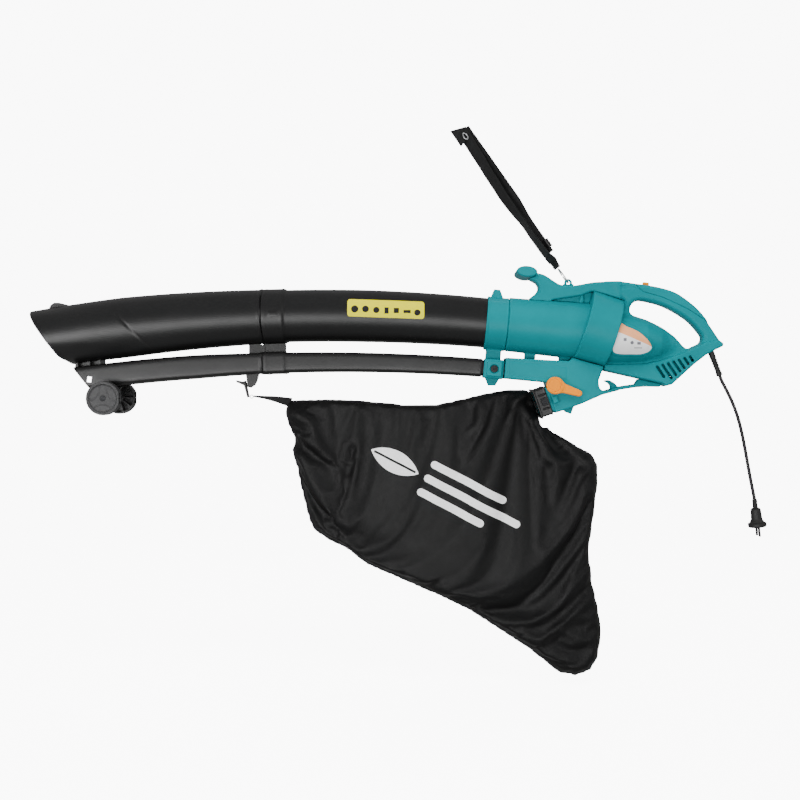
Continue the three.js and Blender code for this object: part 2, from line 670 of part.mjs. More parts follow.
function housingHalf(side) {
  const half = new THREE.BoxGeometry(600, 200, 600);
  const keep = solid(half.translate(-60, side * (100 + SEAM / 2), -60));
  return cut(shellWhole.intersect(keep), coverRegion(GAP));
}

const SWITCH = { x: -45, z: 29.5, tilt: 9, length: 12, width: 9, travel: 6 };

function gripCover() {
  const slot = block(SWITCH.x - SWITCH.travel / 2, 0, SWITCH.z, SWITCH.length + SWITCH.travel + 1.5, SWITCH.width + 1.2,
    16, SWITCH.tilt);
  return cut(shellWhole.intersect(coverRegion(0)), slot);
}

function powerSlider() {
  const button = block(SWITCH.x, 0, SWITCH.z + 2.5, SWITCH.length, SWITCH.width, 9, SWITCH.tilt);
  const stem = block(SWITCH.x, 0, SWITCH.z - 6, 6, 5, 10, SWITCH.tilt);
  return join(button, stem);
}

function switchBody() {
  return block(SWITCH.x - 2, 0, 10, 28, 16, 15, SWITCH.tilt);
}

function frontGripBar(grow) {
  const g = new THREE.CylinderGeometry(1, 1, 2 * (FRONT_GRIP.half + grow), 32);
  g.scale(FRONT_GRIP.along + grow, 1, FRONT_GRIP.up + grow);
  return solid(put(g, FRONT_GRIP.x, 0, FRONT_GRIP.z, FRONT_GRIP.tilt));
}

// ---------------------------------------------------------------- diverter case

function caseOutside(grow) {
  return plate(CASE, CASE_HALF, 2, -grow);
}

function outletSleeve(length, grow) {
  const at = { x: OUTLET.x, z: OUTLET.z, tilt: 180 - OUTLET.tilt };
  const p = fromFrame(at, -length / 2 + 4);
  return block(p.x, 0, p.z, length + 8, OUTLET.width + 2 * grow, OUTLET.height + 2 * grow, at.tilt);
}

function caseShell() {
  const chamber = [
    [-331, -119], [-203, -129.5], [-192, -124], [-149, -136.5], [-154, -162], [-152, -178], [-160, -193],
    [-178, -203.5], [-211, -215.5], [-226, -220], [-243, -174.5], [-246, -162.5], [-331, -154],
  ];
  const inside = join(
    slab(chamber, -CASE_HALF + WALL, CASE_HALF - WALL),
    outletSleeve(OUTLET.length + 10, -WALL),
  );
  const at = fromFrame(DRUM, DRUM.length / 2 - 2, -DRUM.r0);
  const throat = block(at.x, 0, at.z, 40, 46, 34, DRUM.tilt);
  const tab = slab([[-212, -216], [-206, -224], [-195, -228], [-188, -209]], -10, 10);
  const catches = [-1, 1].map((side) => join(
    block(-228, side * (CASE_HALF + 3), -198, 6, 7, 14, -19.4),
    block(-231, side * (CASE_HALF + 5), -199, 8, 3, 14, -19.4),
  ));
  const strutTop = slab([[-135, -190], [-100, -181], [-100, -172], [-126, -180]], -6, 6);
  const outside = join(caseOutside(0), outletSleeve(OUTLET.length, 0), tab, cordHook(), ...catches, strutTop);
  const slim = [-1, 1].map((side) => slab([[-128, -100], [0, -100], [0, -240], [-112, -240]],
    side > 0 ? 9 : -60, side > 0 ? 60 : -9));
  return cut(
    outside, inside, throat, ...slim,
    turned(drumFrame(GAP), DRUM, 36),
    barY(SELECTOR.x, SELECTOR.z, 4 + RUNNING, -60, 60, 20),
  );
}

// A claw on the strut keeps the extension lead from pulling out.
function cordHook() {
  return slab(
    [[-129, -161.3], [-120, -160], [-111, -164], [-105, -169], [-98, -179], [-118, -183], [-117, -173], [-121, -166.5],
      [-128, -163]],
    -5, 5,
  );
}

const caseWhole = caseShell();

function caseHalf(side) {
  const half = new THREE.BoxGeometry(600, 200, 400);
  return caseWhole.intersect(solid(half.translate(-160, side * (100 + SEAM / 2), -160)));
}

// ---------------------------------------------------------------- mode selector

function modeLever() {
  const y0 = -CASE_HALF - 1;
  const hub = barY(SELECTOR.x, SELECTOR.z, SELECTOR.hubR, y0 - SELECTOR.thick, y0, 32);
  const at = { x: SELECTOR.x, z: SELECTOR.z, tilt: SELECTOR.rest };
  const corner = (a, up) => {
    const p = fromFrame(at, a, up);
    return [p.x, p.z];
  };
  const tip = SELECTOR.armLength;
  const r = SELECTOR.armR;
  const arm = slab([corner(8, -13), corner(20, -9), corner(tip, -r), corner(tip, r), corner(20, 9), corner(8, 13)],
    y0 - SELECTOR.thick + 1, y0 - 3);
  const end = fromFrame(at, tip);
  const nose = barY(end.x, end.z, r, y0 - SELECTOR.thick + 1, y0 - 3, 20);
  const socket = barY(SELECTOR.x, SELECTOR.z, 4 + GAP, y0 - 6, y0 + 1, 20);
  return cut(join(hub, arm, nose), socket);
}

function flapSpindle() {
  return barY(SELECTOR.x, SELECTOR.z, 4, -CASE_HALF - 6.5, CASE_HALF + 2, 20);
}

function flowFlap() {
  const at = { x: SELECTOR.x, z: SELECTOR.z, tilt: FLAP.rest };
  const p = fromFrame(at, FLAP.length / 2 + 2);
  const width = 2 * (CASE_HALF - WALL - 1);
  const leaf = block(p.x, 0, p.z, FLAP.length - 4, width, FLAP.thick, FLAP.rest);
  const barrel = barY(SELECTOR.x, SELECTOR.z, 6.5, -width / 2, width / 2, 20);
  return cut(join(leaf, barrel), barY(SELECTOR.x, SELECTOR.z, 4 + GAP, -60, 60, 20));
}

// ---------------------------------------------------------------- motor and fan

function impeller() {
  const back = disc(DRUM, 40, 43, IMPELLER.radius, 30);
  const hub = disc(DRUM, 20, 43, IMPELLER.hub, 24);
  const blades = [...Array(IMPELLER.blades)].map((_, i) => {
    const g = new THREE.BoxGeometry(IMPELLER.depth, 2.4, IMPELLER.radius - 12);
    g.translate(42 - IMPELLER.depth / 2, 0, IMPELLER.radius / 2 + 5).rotateX((2 * Math.PI * i) / IMPELLER.blades);
    return solid(put(g, DRUM.x, 0, DRUM.z, DRUM.tilt));
  });
  return cut(join(back, hub, ...blades), disc(DRUM, 0, 60, SHAFT_R + GAP, 20));
}

const onShaft = (from, to, radius, segments = 28) => disc(DRUM, from, to, radius, segments);
const ringOnShaft = (from, to, outer, inner, segments = 28) =>
  cut(onShaft(from, to, outer, segments), onShaft(from - 1, to + 1, inner, segments));

function fieldCoil(side) {
  const ring = ringOnShaft(STATOR.at - 6, STATOR.at + STATOR.length + 6, STATOR.inner - GAP, ARMATURE_R + 1);
  const g = new THREE.BoxGeometry(STATOR.length + 20, 60, 34);
  g.translate(STATOR.at + STATOR.length / 2, side * (30 + 6), 0);
  return ring.intersect(solid(put(g, DRUM.x, 0, DRUM.z, DRUM.tilt)));
}

function brushHolder(side) {
  const g = new THREE.BoxGeometry(10, 14, 10);
  g.translate(STATOR.at + STATOR.length + 14, side * (12 + 7), 0);
  return solid(put(g, DRUM.x, 0, DRUM.z, DRUM.tilt));
}

// ---------------------------------------------------------------- wheels

function wheel(side) {
  const inner = side * (WHEEL.face - WHEEL.width);
  const outer = side * WHEEL.face;
  const [y0, y1] = side > 0 ? [inner, outer] : [outer, inner];
  const tyre = barY(AXLE.x, AXLE.z, WHEEL.radius, y0, y1, 36);
  const dishes = [
    cut(barY(AXLE.x, AXLE.z, 26, outer - 2, outer + 2, 32), barY(AXLE.x, AXLE.z, 8, outer - 3, outer + 3, 20)),
    cut(
      barY(AXLE.x, AXLE.z, 29, side > 0 ? inner - 1 : inner - 12, side > 0 ? inner + 12 : inner + 1, 32),
      barY(AXLE.x, AXLE.z, 9, -80, 80, 20),
    ),
  ];
  return cut(tyre, ...dishes, barY(AXLE.x, AXLE.z, WHEEL.bore, -80, 80, 20));
}

function axle() {
  const reach = WHEEL.face - 6;
  return barY(AXLE.x, AXLE.z, AXLE.radius, -reach, reach, 20);
}

// ---------------------------------------------------------------- power cord

function strainRelief() {
  return turned(
    [[-14, 0], [-14, RELIEF.r0], [RELIEF.length, RELIEF.r1], [RELIEF.length, 0]], { ...CORD_EXIT }, 20,
  );
}

// The cord leaves the strain relief and hangs down to its plug. [x, z]
const reliefEnd = fromFrame(CORD_EXIT, RELIEF.length + GAP);
const PLUG = { x: 172.5, z: -398, tilt: 83.7 };
const CORD_ROUTE = [
  [reliefEnd.x, reliefEnd.z], [106.5, -160.5], [111.8, -171], [118, -183], [124.4, -196], [130.6, -210.4], [136.4, -226],
  [141.6, -243], [146.4, -262], [150.8, -283], [154.8, -304], [158.2, -323], [161.8, -343], [165.6, -363],
  [169.4, -382], [PLUG.x, PLUG.z],
];

function powerCord() {
  const path = new THREE.CatmullRomCurve3(CORD_ROUTE.map(([x, z]) => new THREE.Vector3(x, 0, z)));
  const section = new THREE.Shape();
  section.absarc(0, 0, CORD_R, 0, 2 * Math.PI);
  const g = new THREE.ExtrudeGeometry(section, { steps: 26, extrudePath: path, curveSegments: 8 });
  return solid(g);
}

function plug() {
  const body = turned(
    [[GAP, 0], [GAP, 5.5], [20, 6], [22, 10], [44, 13], [48, 18], [54, 18], [56, 14], [56, 0]], PLUG, 24);
  const pins = [-1, 1].map((side) => {
    const g = new THREE.CylinderGeometry(2.4, 2.4, 19, 12).rotateZ(-Math.PI / 2).translate(65, 0, side * 8.5);
    return solid(put(g, PLUG.x, 0, PLUG.z, PLUG.tilt));
  });
  return { body, pins };
}

// ---------------------------------------------------------------- collecting bag

const COLLAR_LENGTH = 27;
const mouth = { x: OUTLET.x, z: OUTLET.z, tilt: -(OUTLET.tilt - 180) };
const awayFromMouth = (distance, up = 0) => fromFrame(mouth, -distance, up);

function bagCollar() {
  const clearance = 0.5;
  const inner = [OUTLET.width + 2 * clearance, OUTLET.height + 2 * clearance];
  const centre = awayFromMouth(COLLAR_LENGTH / 2 + 1.5);
  const flange = awayFromMouth(COLLAR_LENGTH - 1);
  const ring = block(centre.x, 0, centre.z, COLLAR_LENGTH, inner[0] + 6, inner[1] + 6, mouth.tilt);
  const lip = block(flange.x, 0, flange.z, 3, inner[0] + 11, inner[1] + 11, mouth.tilt);
  const bore = block(centre.x, 0, centre.z, COLLAR_LENGTH + 10, ...inner, mouth.tilt);
  return cut(join(ring, lip), bore, caseOutside(GAP));
}

function bagLatch(side) {
  const p = awayFromMouth(10.5, 0);
  const y = side * (OUTLET.width / 2 + 0.5 + 3 + 5);
  const pad = block(p.x, y, p.z, 15, 3, 15, mouth.tilt);
  const ribs = [-5, 0, 5].map((step) => {
    const q = awayFromMouth(10.5 + step);
    return block(q.x, y + side * 1.8, q.z, 2, 2, 15, mouth.tilt);
  });
  return join(pad, ...ribs);
}

const BAG_OUTLINE = [
  [-760, -200], [-677, -198], [-597, -202], [-528, -209], [-458, -209], [-403, -198], [-340, -187],
  [-272, -187.5], [-253, -233], [-232, -264], [-180, -294], [-152, -308], [-142, -330], [-141, -364], [-152, -438],
  [-160, -500], [-152, -563], [-138, -620], [-134, -662], [-140, -712], [-156, -740], [-185, -750], [-219, -744],
  [-279, -695], [-398, -618], [-528, -561], [-602, -528], [-677, -481], [-710, -456], [-727, -399], [-742, -339],
  [-752, -290], [-758, -254], [-764, -225],
];
const BAG_HALF = 42;
const BAG_WALL = 2;

function bagFabric() {
  const pillow = cut(plate(BAG_OUTLINE, BAG_HALF, 20), plate(BAG_OUTLINE, BAG_HALF, 20, BAG_WALL));
  const reach = 1.5 + COLLAR_LENGTH + GAP;
  const clear = awayFromMouth(reach - 35);
  const keepOff = block(clear.x, 0, clear.z, 70, 140, 90, mouth.tilt);
  const neck = awayFromMouth(reach + 20);
  return cut(pillow, keepOff, block(neck.x, 0, neck.z, 60, OUTLET.width - 6, OUTLET.height - 6, mouth.tilt));
}

function bagTab() {
  return slab([[-827.5, -190.8], [-762, -197.5], [-767, -213], [-827.5, -194]], -10, 10);
}

function bagRing() {
  const g = new THREE.TorusGeometry(3.2, 0.8, 6, 12);
  g.rotateX(Math.PI / 2);
  return solid(put(g, -832.4, 0, -193.2, 6));
}

// A plastic hook: a finger in the lug's window, a thumb lever in front and a stem down to the ring.
function bagHook() {
  const at = { x: HOOK.x, z: HOOK.z, tilt: -HOOK.tilt };
  const f = fromFrame(at, -3);
  const finger = block(f.x, 0, f.z, 16, 5, 3.4, at.tilt);
  const stem = slab([[-849, -163], [-844, -161], [-837.2, -194], [-840.6, -195]], -6, 6);
  const thumb = slab([[-862, -161], [-846, -165], [-845, -171], [-861, -163.5]], -5, 5);
  return { finger, stem, thumb };
}

function bagHookSolid() {
  const { finger, stem, thumb } = bagHook();
  return join(finger, stem, thumb);
}

// ---------------------------------------------------------------- shoulder strap

const strapFrame = { x: EYELET.x, z: EYELET.z, tilt: -(90 + STRAP.lean) };
const onStrap = (distance, side = 0) => fromFrame(strapFrame, distance, side);

// A closed wire loop through the eyelet, in the plane of Y and the strap.
const loopPoint = (degrees) => {
  const t = THREE.MathUtils.degToRad(degrees);
  const p = onStrap(17 - 17 * Math.cos(t));
  return new THREE.Vector3(p.x, 9 * Math.sin(t), p.z);
};

function snapHook() {
  const points = [...Array(20)].map((_, i) => loopPoint(18 * i));
  const path = new THREE.CatmullRomCurve3(points.slice(9).concat(points.slice(0, 6)));
  const section = new THREE.Shape();
  section.absarc(0, 0, WIRE_R, 0, 2 * Math.PI);
  return solid(new THREE.ExtrudeGeometry(section, { steps: 28, extrudePath: path, curveSegments: 4 }));
}

// The spring gate closes the gap left in the wire loop.
function snapGate() {
  const path = new THREE.CatmullRomCurve3([97, 116, 136, 155].map(loopPoint));
  const section = new THREE.Shape();
  section.absarc(0, 0, WIRE_R, 0, 2 * Math.PI);
  return solid(new THREE.ExtrudeGeometry(section, { steps: 4, extrudePath: path, curveSegments: 4 }));
}

// A ribbon through stations of [distance up the strap, sideways shift, turn about its own line in degrees].
function ribbon(stations, width = STRAP.width, thick = STRAP.thick) {
  const points = [];
  for (const [distance, side, degrees] of stations) {
    const turn = THREE.MathUtils.degToRad(degrees);
    for (const [across, deep] of [[-1, -1], [1, -1], [1, 1], [-1, 1]]) {
      const w = (across * width) / 2;
      const h = (deep * thick) / 2;
      const p = onStrap(distance, side + w * Math.cos(turn) - h * Math.sin(turn));
      points.push(p.x, w * Math.sin(turn) + h * Math.cos(turn), p.z);
    }
  }
  const last = stations.length - 1;
  const faces = [0, 1, 2, 0, 2, 3, 4 * last, 4 * last + 2, 4 * last + 1, 4 * last, 4 * last + 3, 4 * last + 2];
  for (let i = 0; i < last; i++) {
    for (let j = 0; j < 4; j++) {
      const a = 4 * i + j;
      const b = 4 * i + ((j + 1) % 4);
      faces.push(a, b + 4, b, a, a + 4, b + 4);
    }
  }
  const g = new THREE.BufferGeometry();
  g.setAttribute("position", new THREE.Float32BufferAttribute(points, 3));
  g.setIndex(faces);
  return solid(g);
}

const LONG_STRAND = [
  [36, 0.5, 72], [56, 0.5, 58], [72, 3, 66], [142, 5, 72], [200, 7.2, 55], [280, 4, 48], [352, 0, 38], [366, -2, 30],
];
const SHORT_STRAND = [[70, -7, 70], [150, -7, 70], [200, -8.5, 52], [280, -7.5, 45], [352, -6, 35], [366, -5, 30]];

// The long strand carries the hook. The short one comes back down from the fold at the top, to the slide.
function strapWebbing() {
  const flap = slab([[-436, 337], [-404, 346], [-398, 328], [-414, 305]], -4, -1.5);
  return join(
    ribbon(LONG_STRAND), ribbon(SHORT_STRAND), ribbon([[360, -3.5, 30], [371, -3.5, 30]], 28, 9), flap,
  );
}

// A plastic slide that sets the strap's length.
const STRAP_SLIDE = { at: 88, length: 18 };

function strapSlide() {
  const bar = (length, width, thick) => ribbon([
    [STRAP_SLIDE.at - length / 2, -7, 70], [STRAP_SLIDE.at + length / 2, -7, 70],
  ], width, thick);
  return cut(bar(STRAP_SLIDE.length, 31, 7), bar(STRAP_SLIDE.length + 4, 26.2, 3));
}

// ---------------------------------------------------------------- labels

function warningLabel() {
  const x0 = -640;
  const x1 = -484;
  const skin = cut(tubeBar(x0, x1, 1, 5), tubeBar(x0 - 5, x1 + 5, GAP, 5));
  const g = new THREE.BoxGeometry(x1 - x0 - 4, 60, 34);
  return skin.intersect(solid(put(g, (x0 + x1) / 2, -40, -21, 1.5)));
}

function ratingLabel() {
  const shape = [[-106, -55], [-92, -58.5], [-68, -69.5], [-49.5, -86], [-43, -96.5], [-52.5, -105.5], [-77, -109],
    [-118, -102]];
  const skin = cut(bulge(-1), bulge(-GAP));
  return skin.intersect(slab(shape, -90, -30));
}

// ---------------------------------------------------------------- assembly

const group = new THREE.Group();
const add = (name, made, material) => group.add(piece(name, made, material));

add("rear_suction_tube", rearTube(), blackPlastic);
add("front_suction_tube", frontTube(), blackPlastic);
add("rear_blow_duct", rearDuct(), blackPlastic);
add("front_blow_duct", frontDuct(), blackPlastic);
add("tube_collar", tubeCollar(), teal);
add("collar_screw_left", collarScrew(-1), innerPlastic);
add("collar_screw_right", collarScrew(1), innerPlastic);
add("intake_duct", intakeDuct(), teal);
add("fan_drum", fanDrum(), teal);
add("housing_left", housingHalf(-1), teal);
add("housing_right", housingHalf(1), teal);
add("grip_cover", gripCover(), teal);
add("front_grip", frontGripBar(0), teal);
add("diverter_case_left", caseHalf(-1), teal);
add("diverter_case_right", caseHalf(1), teal);
SCREWS.forEach(([x, z, half], i) => {
  const shank = barY(x, z, 1.5, -half + 8, half - 4, 12);
  const head = barY(x, z, 3.6, half - 5 + GAP, half - 2.5, 14);
  add(`housing_screw_${i + 1}`, join(shank, head), steel);
});

add("mode_lever", modeLever(), orange);
add("flap_spindle", flapSpindle(), steel);
add("flow_flap", flowFlap(), innerPlastic);

add("impeller", impeller(), innerPlastic);
add("motor_shaft", onShaft(14, 146, SHAFT_R, 20), steel);
add("impeller_nut", cut(onShaft(14.5, 19.5, 8, 6), onShaft(10, 25, SHAFT_R + GAP)), steel);
add("armature_core", ringOnShaft(STATOR.at + 1, STATOR.at + STATOR.length - 1, ARMATURE_R, SHAFT_R + GAP), lamination);
add("commutator", ringOnShaft(STATOR.at + STATOR.length + 8, STATOR.at + STATOR.length + 20, 10, SHAFT_R + GAP), copper);
add("stator_core", ringOnShaft(STATOR.at, STATOR.at + STATOR.length, STATOR.outer, STATOR.inner, 32), lamination);
add("field_coil_left", fieldCoil(-1), copper);
add("field_coil_right", fieldCoil(1), copper);
add("front_bearing", ringOnShaft(63, 70, 11, SHAFT_R + RUNNING, 24), steel);
add("rear_bearing", ringOnShaft(138, 145, 9.5, SHAFT_R + RUNNING, 24), steel);
add("motor_plate", ringOnShaft(63, 70, 36, 11 + GAP, 32), innerPlastic);
add("brush_holder_left", brushHolder(-1), innerPlastic);
add("brush_holder_right", brushHolder(1), innerPlastic);
add("power_slider", powerSlider(), orange);
add("power_switch", switchBody(), innerPlastic);

add("axle", axle(), steel);
add("wheel_left", wheel(-1), wheelPlastic);
add("wheel_right", wheel(1), wheelPlastic);

add("strain_relief", strainRelief(), rubber);
add("power_cord", powerCord(), rubber);
const { body: plugBody, pins } = plug();
add("plug", join(plugBody, ...pins), rubber);

add("bag_collar", bagCollar(), blackPlastic);
add("bag_latch_left", bagLatch(-1), innerPlastic);
add("bag_latch_right", bagLatch(1), innerPlastic);
add("bag_fabric", bagFabric(), fabric);
add("bag_tab", bagTab(), webbing);
add("bag_ring", bagRing(), steel);
add("bag_hook", bagHookSolid(), blackPlastic);

add("snap_hook", snapHook(), steel);
add("snap_gate", snapGate(), steel);
add("strap_webbing", strapWebbing(), webbing);
add("strap_slide", strapSlide(), blackPlastic);

add("warning_label", warningLabel(), yellowLabel);
add("rating_label", ratingLabel(), whiteLabel);

export default group;
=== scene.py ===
"""The looks of the garden blower and vacuum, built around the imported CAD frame.

Shapes are drawn in millimetres and turned into metres when their mesh is made.
"""
import json
import math

import bpy
import numpy as np
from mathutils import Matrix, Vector


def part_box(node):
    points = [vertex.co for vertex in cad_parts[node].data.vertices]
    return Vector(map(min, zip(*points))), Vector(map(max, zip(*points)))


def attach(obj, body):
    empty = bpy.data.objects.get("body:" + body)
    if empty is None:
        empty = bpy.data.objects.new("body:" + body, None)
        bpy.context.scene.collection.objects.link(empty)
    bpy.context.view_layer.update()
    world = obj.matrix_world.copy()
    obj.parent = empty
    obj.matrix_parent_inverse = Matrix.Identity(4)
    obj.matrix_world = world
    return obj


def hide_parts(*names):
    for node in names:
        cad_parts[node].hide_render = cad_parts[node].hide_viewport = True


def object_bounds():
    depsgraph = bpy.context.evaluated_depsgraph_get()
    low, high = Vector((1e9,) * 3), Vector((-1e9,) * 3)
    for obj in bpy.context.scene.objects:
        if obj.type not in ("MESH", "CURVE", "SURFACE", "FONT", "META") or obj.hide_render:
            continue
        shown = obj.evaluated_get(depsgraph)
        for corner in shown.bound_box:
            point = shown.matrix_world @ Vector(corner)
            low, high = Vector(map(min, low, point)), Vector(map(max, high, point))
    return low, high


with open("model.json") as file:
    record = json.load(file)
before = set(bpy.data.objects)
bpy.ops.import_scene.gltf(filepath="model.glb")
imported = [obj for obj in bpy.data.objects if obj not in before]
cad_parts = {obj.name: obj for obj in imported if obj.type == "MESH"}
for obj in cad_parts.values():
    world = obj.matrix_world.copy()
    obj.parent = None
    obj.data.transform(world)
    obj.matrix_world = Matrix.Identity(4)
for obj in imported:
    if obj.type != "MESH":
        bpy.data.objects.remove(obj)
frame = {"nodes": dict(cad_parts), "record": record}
cad_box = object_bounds()

MM = 0.001
SEAM = 0.15  # half of the gap between two shells
TUBE_ARC = (-680.0, -31.5, 3450.0)  # highest point x, z and radius
DUCT_ARC = (-670.0, -124.6, 3900.0)
DRUM = dict(x=-171.5, z=-51.0, tilt=17.2)
INTAKE = dict(x=-322.0, z=-49.0, tilt=5.35)
BULGE = dict(x=-112.0, z=-76.0, tilt=7.5)
OUTLET = dict(x=-240.0, z=-199.0, tilt=-19.4)
CORD_EXIT = dict(x=87.5, z=-109.5, tilt=69.6)
SELECTOR = (-231.0, -171.0)
AXLE = (-1111.0, -196.0)
AXLE_BORE_R = 3.3
POST_AT = (-1177, -1153, -1132)
EYELET = (-200.0, 34.0)
SPLIT_X = -805.5


# ---------------------------------------------------------------- camera and lights

def make_camera():
    camera = bpy.data.cameras.new("camera")
    camera.lens = 43.9
    camera.shift_x = -0.05
    camera.shift_y = -0.01875
    holder = bpy.data.objects.new("camera", camera)
    holder.location = Vector((-456, -1950, -170)) * MM
    holder.rotation_euler = (math.radians(90), 0, 0)
    bpy.context.collection.objects.link(holder)
    bpy.context.scene.camera = holder


def make_light(name, place, aim, size, power, mirrored=True):
    """A soft box. One that isn't mirrored lights the surfaces without a shine of its own."""
    light = bpy.data.lights.new(name, "AREA")
    light.shape = "RECTANGLE"
    light.size, light.size_y = size
    light.energy = power
    holder = bpy.data.objects.new(name, light)
    holder.location = place
    holder.rotation_euler = (Vector(aim) - Vector(place)).to_track_quat("-Z", "Y").to_euler()
    holder.visible_glossy = mirrored
    bpy.context.collection.objects.link(holder)


def make_studio():
    middle = (-0.55, 0, -0.2)
    make_light("key_light", (-1.0, -2.5, -0.7), middle, (3.4, 1.2), 80)
    make_light("nozzle_light", (-2.3, -1.9, -0.4), (-1.1, 0, -0.1), (0.9, 0.9), 18)
    make_light("high_light", (-0.9, -1.6, 2.6), middle, (2.6, 1.2), 95, mirrored=False)
    make_light("side_light", (2.2, -1.6, 0.9), middle, (1.4, 1.8), 22)
    make_light("top_light", (-0.5, 1.4, 2.4), middle, (3.0, 1.2), 40, mirrored=False)
    world = bpy.data.worlds.new("studio")
    world.use_nodes = True
    background = world.node_tree.nodes["Background"]
    background.inputs["Color"].default_value = (1, 1, 1, 1)
    background.inputs["Strength"].default_value = 0.4
    bpy.context.scene.world = world


# ---------------------------------------------------------------- shader maths

class Wire:
    """A value or a socket of a material, with the arithmetic that its patterns need."""

    def __init__(self, finish, socket):
        self.finish, self.socket = finish, socket

    def maths(self, operation, *values):
        return self.finish.node("Math", {"operation": operation}, dict(enumerate(values)))

    def __add__(self, other):
        return self.maths("ADD", self, other)

    def __sub__(self, other):
        return self.maths("SUBTRACT", self, other)

    def __rsub__(self, other):
        return self.maths("SUBTRACT", other, self)

    def __mul__(self, other):
        return self.maths("MULTIPLY", self, other)

    def __truediv__(self, other):
        return self.maths("DIVIDE", self, other)

    def __lt__(self, other):
        return self.maths("LESS_THAN", self, other)

    def __gt__(self, other):
        return self.maths("GREATER_THAN", self, other)

    def __abs__(self):
        return self.maths("ABSOLUTE", self)

    def __pow__(self, other):
        return self.maths("POWER", self, other)

    __radd__ = __add__
    __rmul__ = __mul__

    def sine(self):
        return self.maths("SINE", self)

    def highest(self, other):
        return self.maths("MAXIMUM", self, other)

    def soft(self, low, high):
        """0 below low and 1 above high."""
        return self.finish.node(
            "MapRange", {"interpolation_type": "SMOOTHSTEP"}, {
                "Value": self, "From Min": low, "From Max": high
            })


class Finish:
    """A material under construction, with one method that makes every node."""

    def __init__(self, name, roughness=0.5, metallic=0.0, **shader):
        self.material = bpy.data.materials.new(name)
        self.material.use_nodes = True
        self.tree = self.material.node_tree
        self.shader = self.tree.nodes["Principled BSDF"]
        self.shader.inputs["Roughness"].default_value = roughness
        self.shader.inputs["Metallic"].default_value = metallic
        for socket, value in shader.items():
            self.shader.inputs[socket.replace("_", " ")].default_value = value
        place = self.node("TexCoord", output="Object")
        self.place = place
        parts = self.node("SeparateXYZ", inputs={0: place}).socket.node.outputs
        self.x, self.y, self.z = (Wire(self, s) for s in parts)

    def node(self, kind, settings=None, inputs=None, output=0):
        made = self.tree.nodes.new("ShaderNode" + kind)
        for key, value in (settings or {}).items():
            if key == "stops":
                for stop, (at, colour) in zip(made.color_ramp.elements, value):
                    stop.position, stop.color = at, colour
            else:
                setattr(made, key, value)
        for key, value in (inputs or {}).items():
            if isinstance(value, Wire):
                self.tree.links.new(value.socket, made.inputs[key])
            else:
                made.inputs[key].default_value = value
        return Wire(self, made.outputs[output])

    def noise(self, scale, detail=2.0, stretch=None, roughness=0.5):
        place = self.place
        if stretch:
            place = self.node("VectorMath", {"operation": "MULTIPLY"}, {0: place, 1: stretch})
        return self.node(
            "TexNoise", None, {"Vector": place, "Scale": scale, "Detail": detail, "Roughness": roughness}
        )

    def blend(self, factor, first, second):
        mixed = self.node("Mix", {"data_type": "RGBA"}, {0: factor, 6: first, 7: second}, output=2)
        return mixed

    def set(self, **sockets):
        for key, wire in sockets.items():
            self.tree.links.new(wire.socket, self.shader.inputs[key.replace("_", " ")])
        return self

    def bump(self, height, strength, distance=0.0004):
        return self.node("Bump", None, {"Height": height, "Strength": strength, "Distance": distance})


def rgb(red, green, blue):
    return (red, green, blue, 1.0)


def moulded(name, colour, roughness=0.45, grain=0.12, wear=0.25, **shader):
    """Moulded plastic: fine spark grain, a little uneven gloss, and edges rubbed lighter."""
    f = Finish(name, roughness, **shader)
    pale = rgb(*(min(1.0, c * 1.35 + 0.02) for c in colour[:3]))
    dark = rgb(*(c * 0.86 for c in colour[:3]))
    cloud = f.noise(9, 3)
    edge = f.node("NewGeometry", output="Pointiness").soft(0.53, 0.62)
    worn = edge * f.noise(60, 4).soft(0.35, 0.7) * wear
    tone = f.blend(cloud.soft(0.3, 0.75), dark, colour)
    f.set(Base_Color=f.blend(worn, tone, pale))
    f.set(Roughness=f.noise(25, 3) * 0.12 + (roughness - 0.06) + worn * 0.1)
    f.set(Normal=f.bump(f.noise(1400, 1) + f.noise(420, 2) * 0.6, grain))
    return f


def metal_finish(name, colour, roughness, lines=0.15):
    f = Finish(name, roughness, 1.0)
    streak = f.noise(300, 3, stretch=(1, 1, 9))
    f.set(Base_Color=f.blend(f.noise(40, 3).soft(0.3, 0.7), colour, rgb(*(c * 0.8 for c in colour[:3]))))
    f.set(Roughness=streak * 0.2 + (roughness - 0.08))
    f.set(Normal=f.bump(streak, lines, 0.0001))
    return f


def woven(name, colour, pale, thread, roughness, strength=0.5):
    """Plain weave: two sets of threads that pass over and under each other."""
    f = Finish(name, roughness, Sheen_Weight=0.1, Sheen_Roughness=0.45, Specular_IOR_Level=0.3)
    turn = 2 * math.pi / thread
    over = (f.x * turn).sine() * (f.z * turn).sine()
    ridge = abs((f.x * turn).sine()).highest(abs((f.z * turn).sine()))
    worn = f.noise(35, 4).soft(0.45, 0.75)
    f.set(Base_Color=f.blend(worn * 0.6 + over * 0.2, colour, pale))
    f.set(Roughness=f.noise(60, 3) * 0.2 + (roughness - 0.1))
    f.set(Normal=f.bump(over * 0.5 + ridge, strength, 0.00025))
    return f


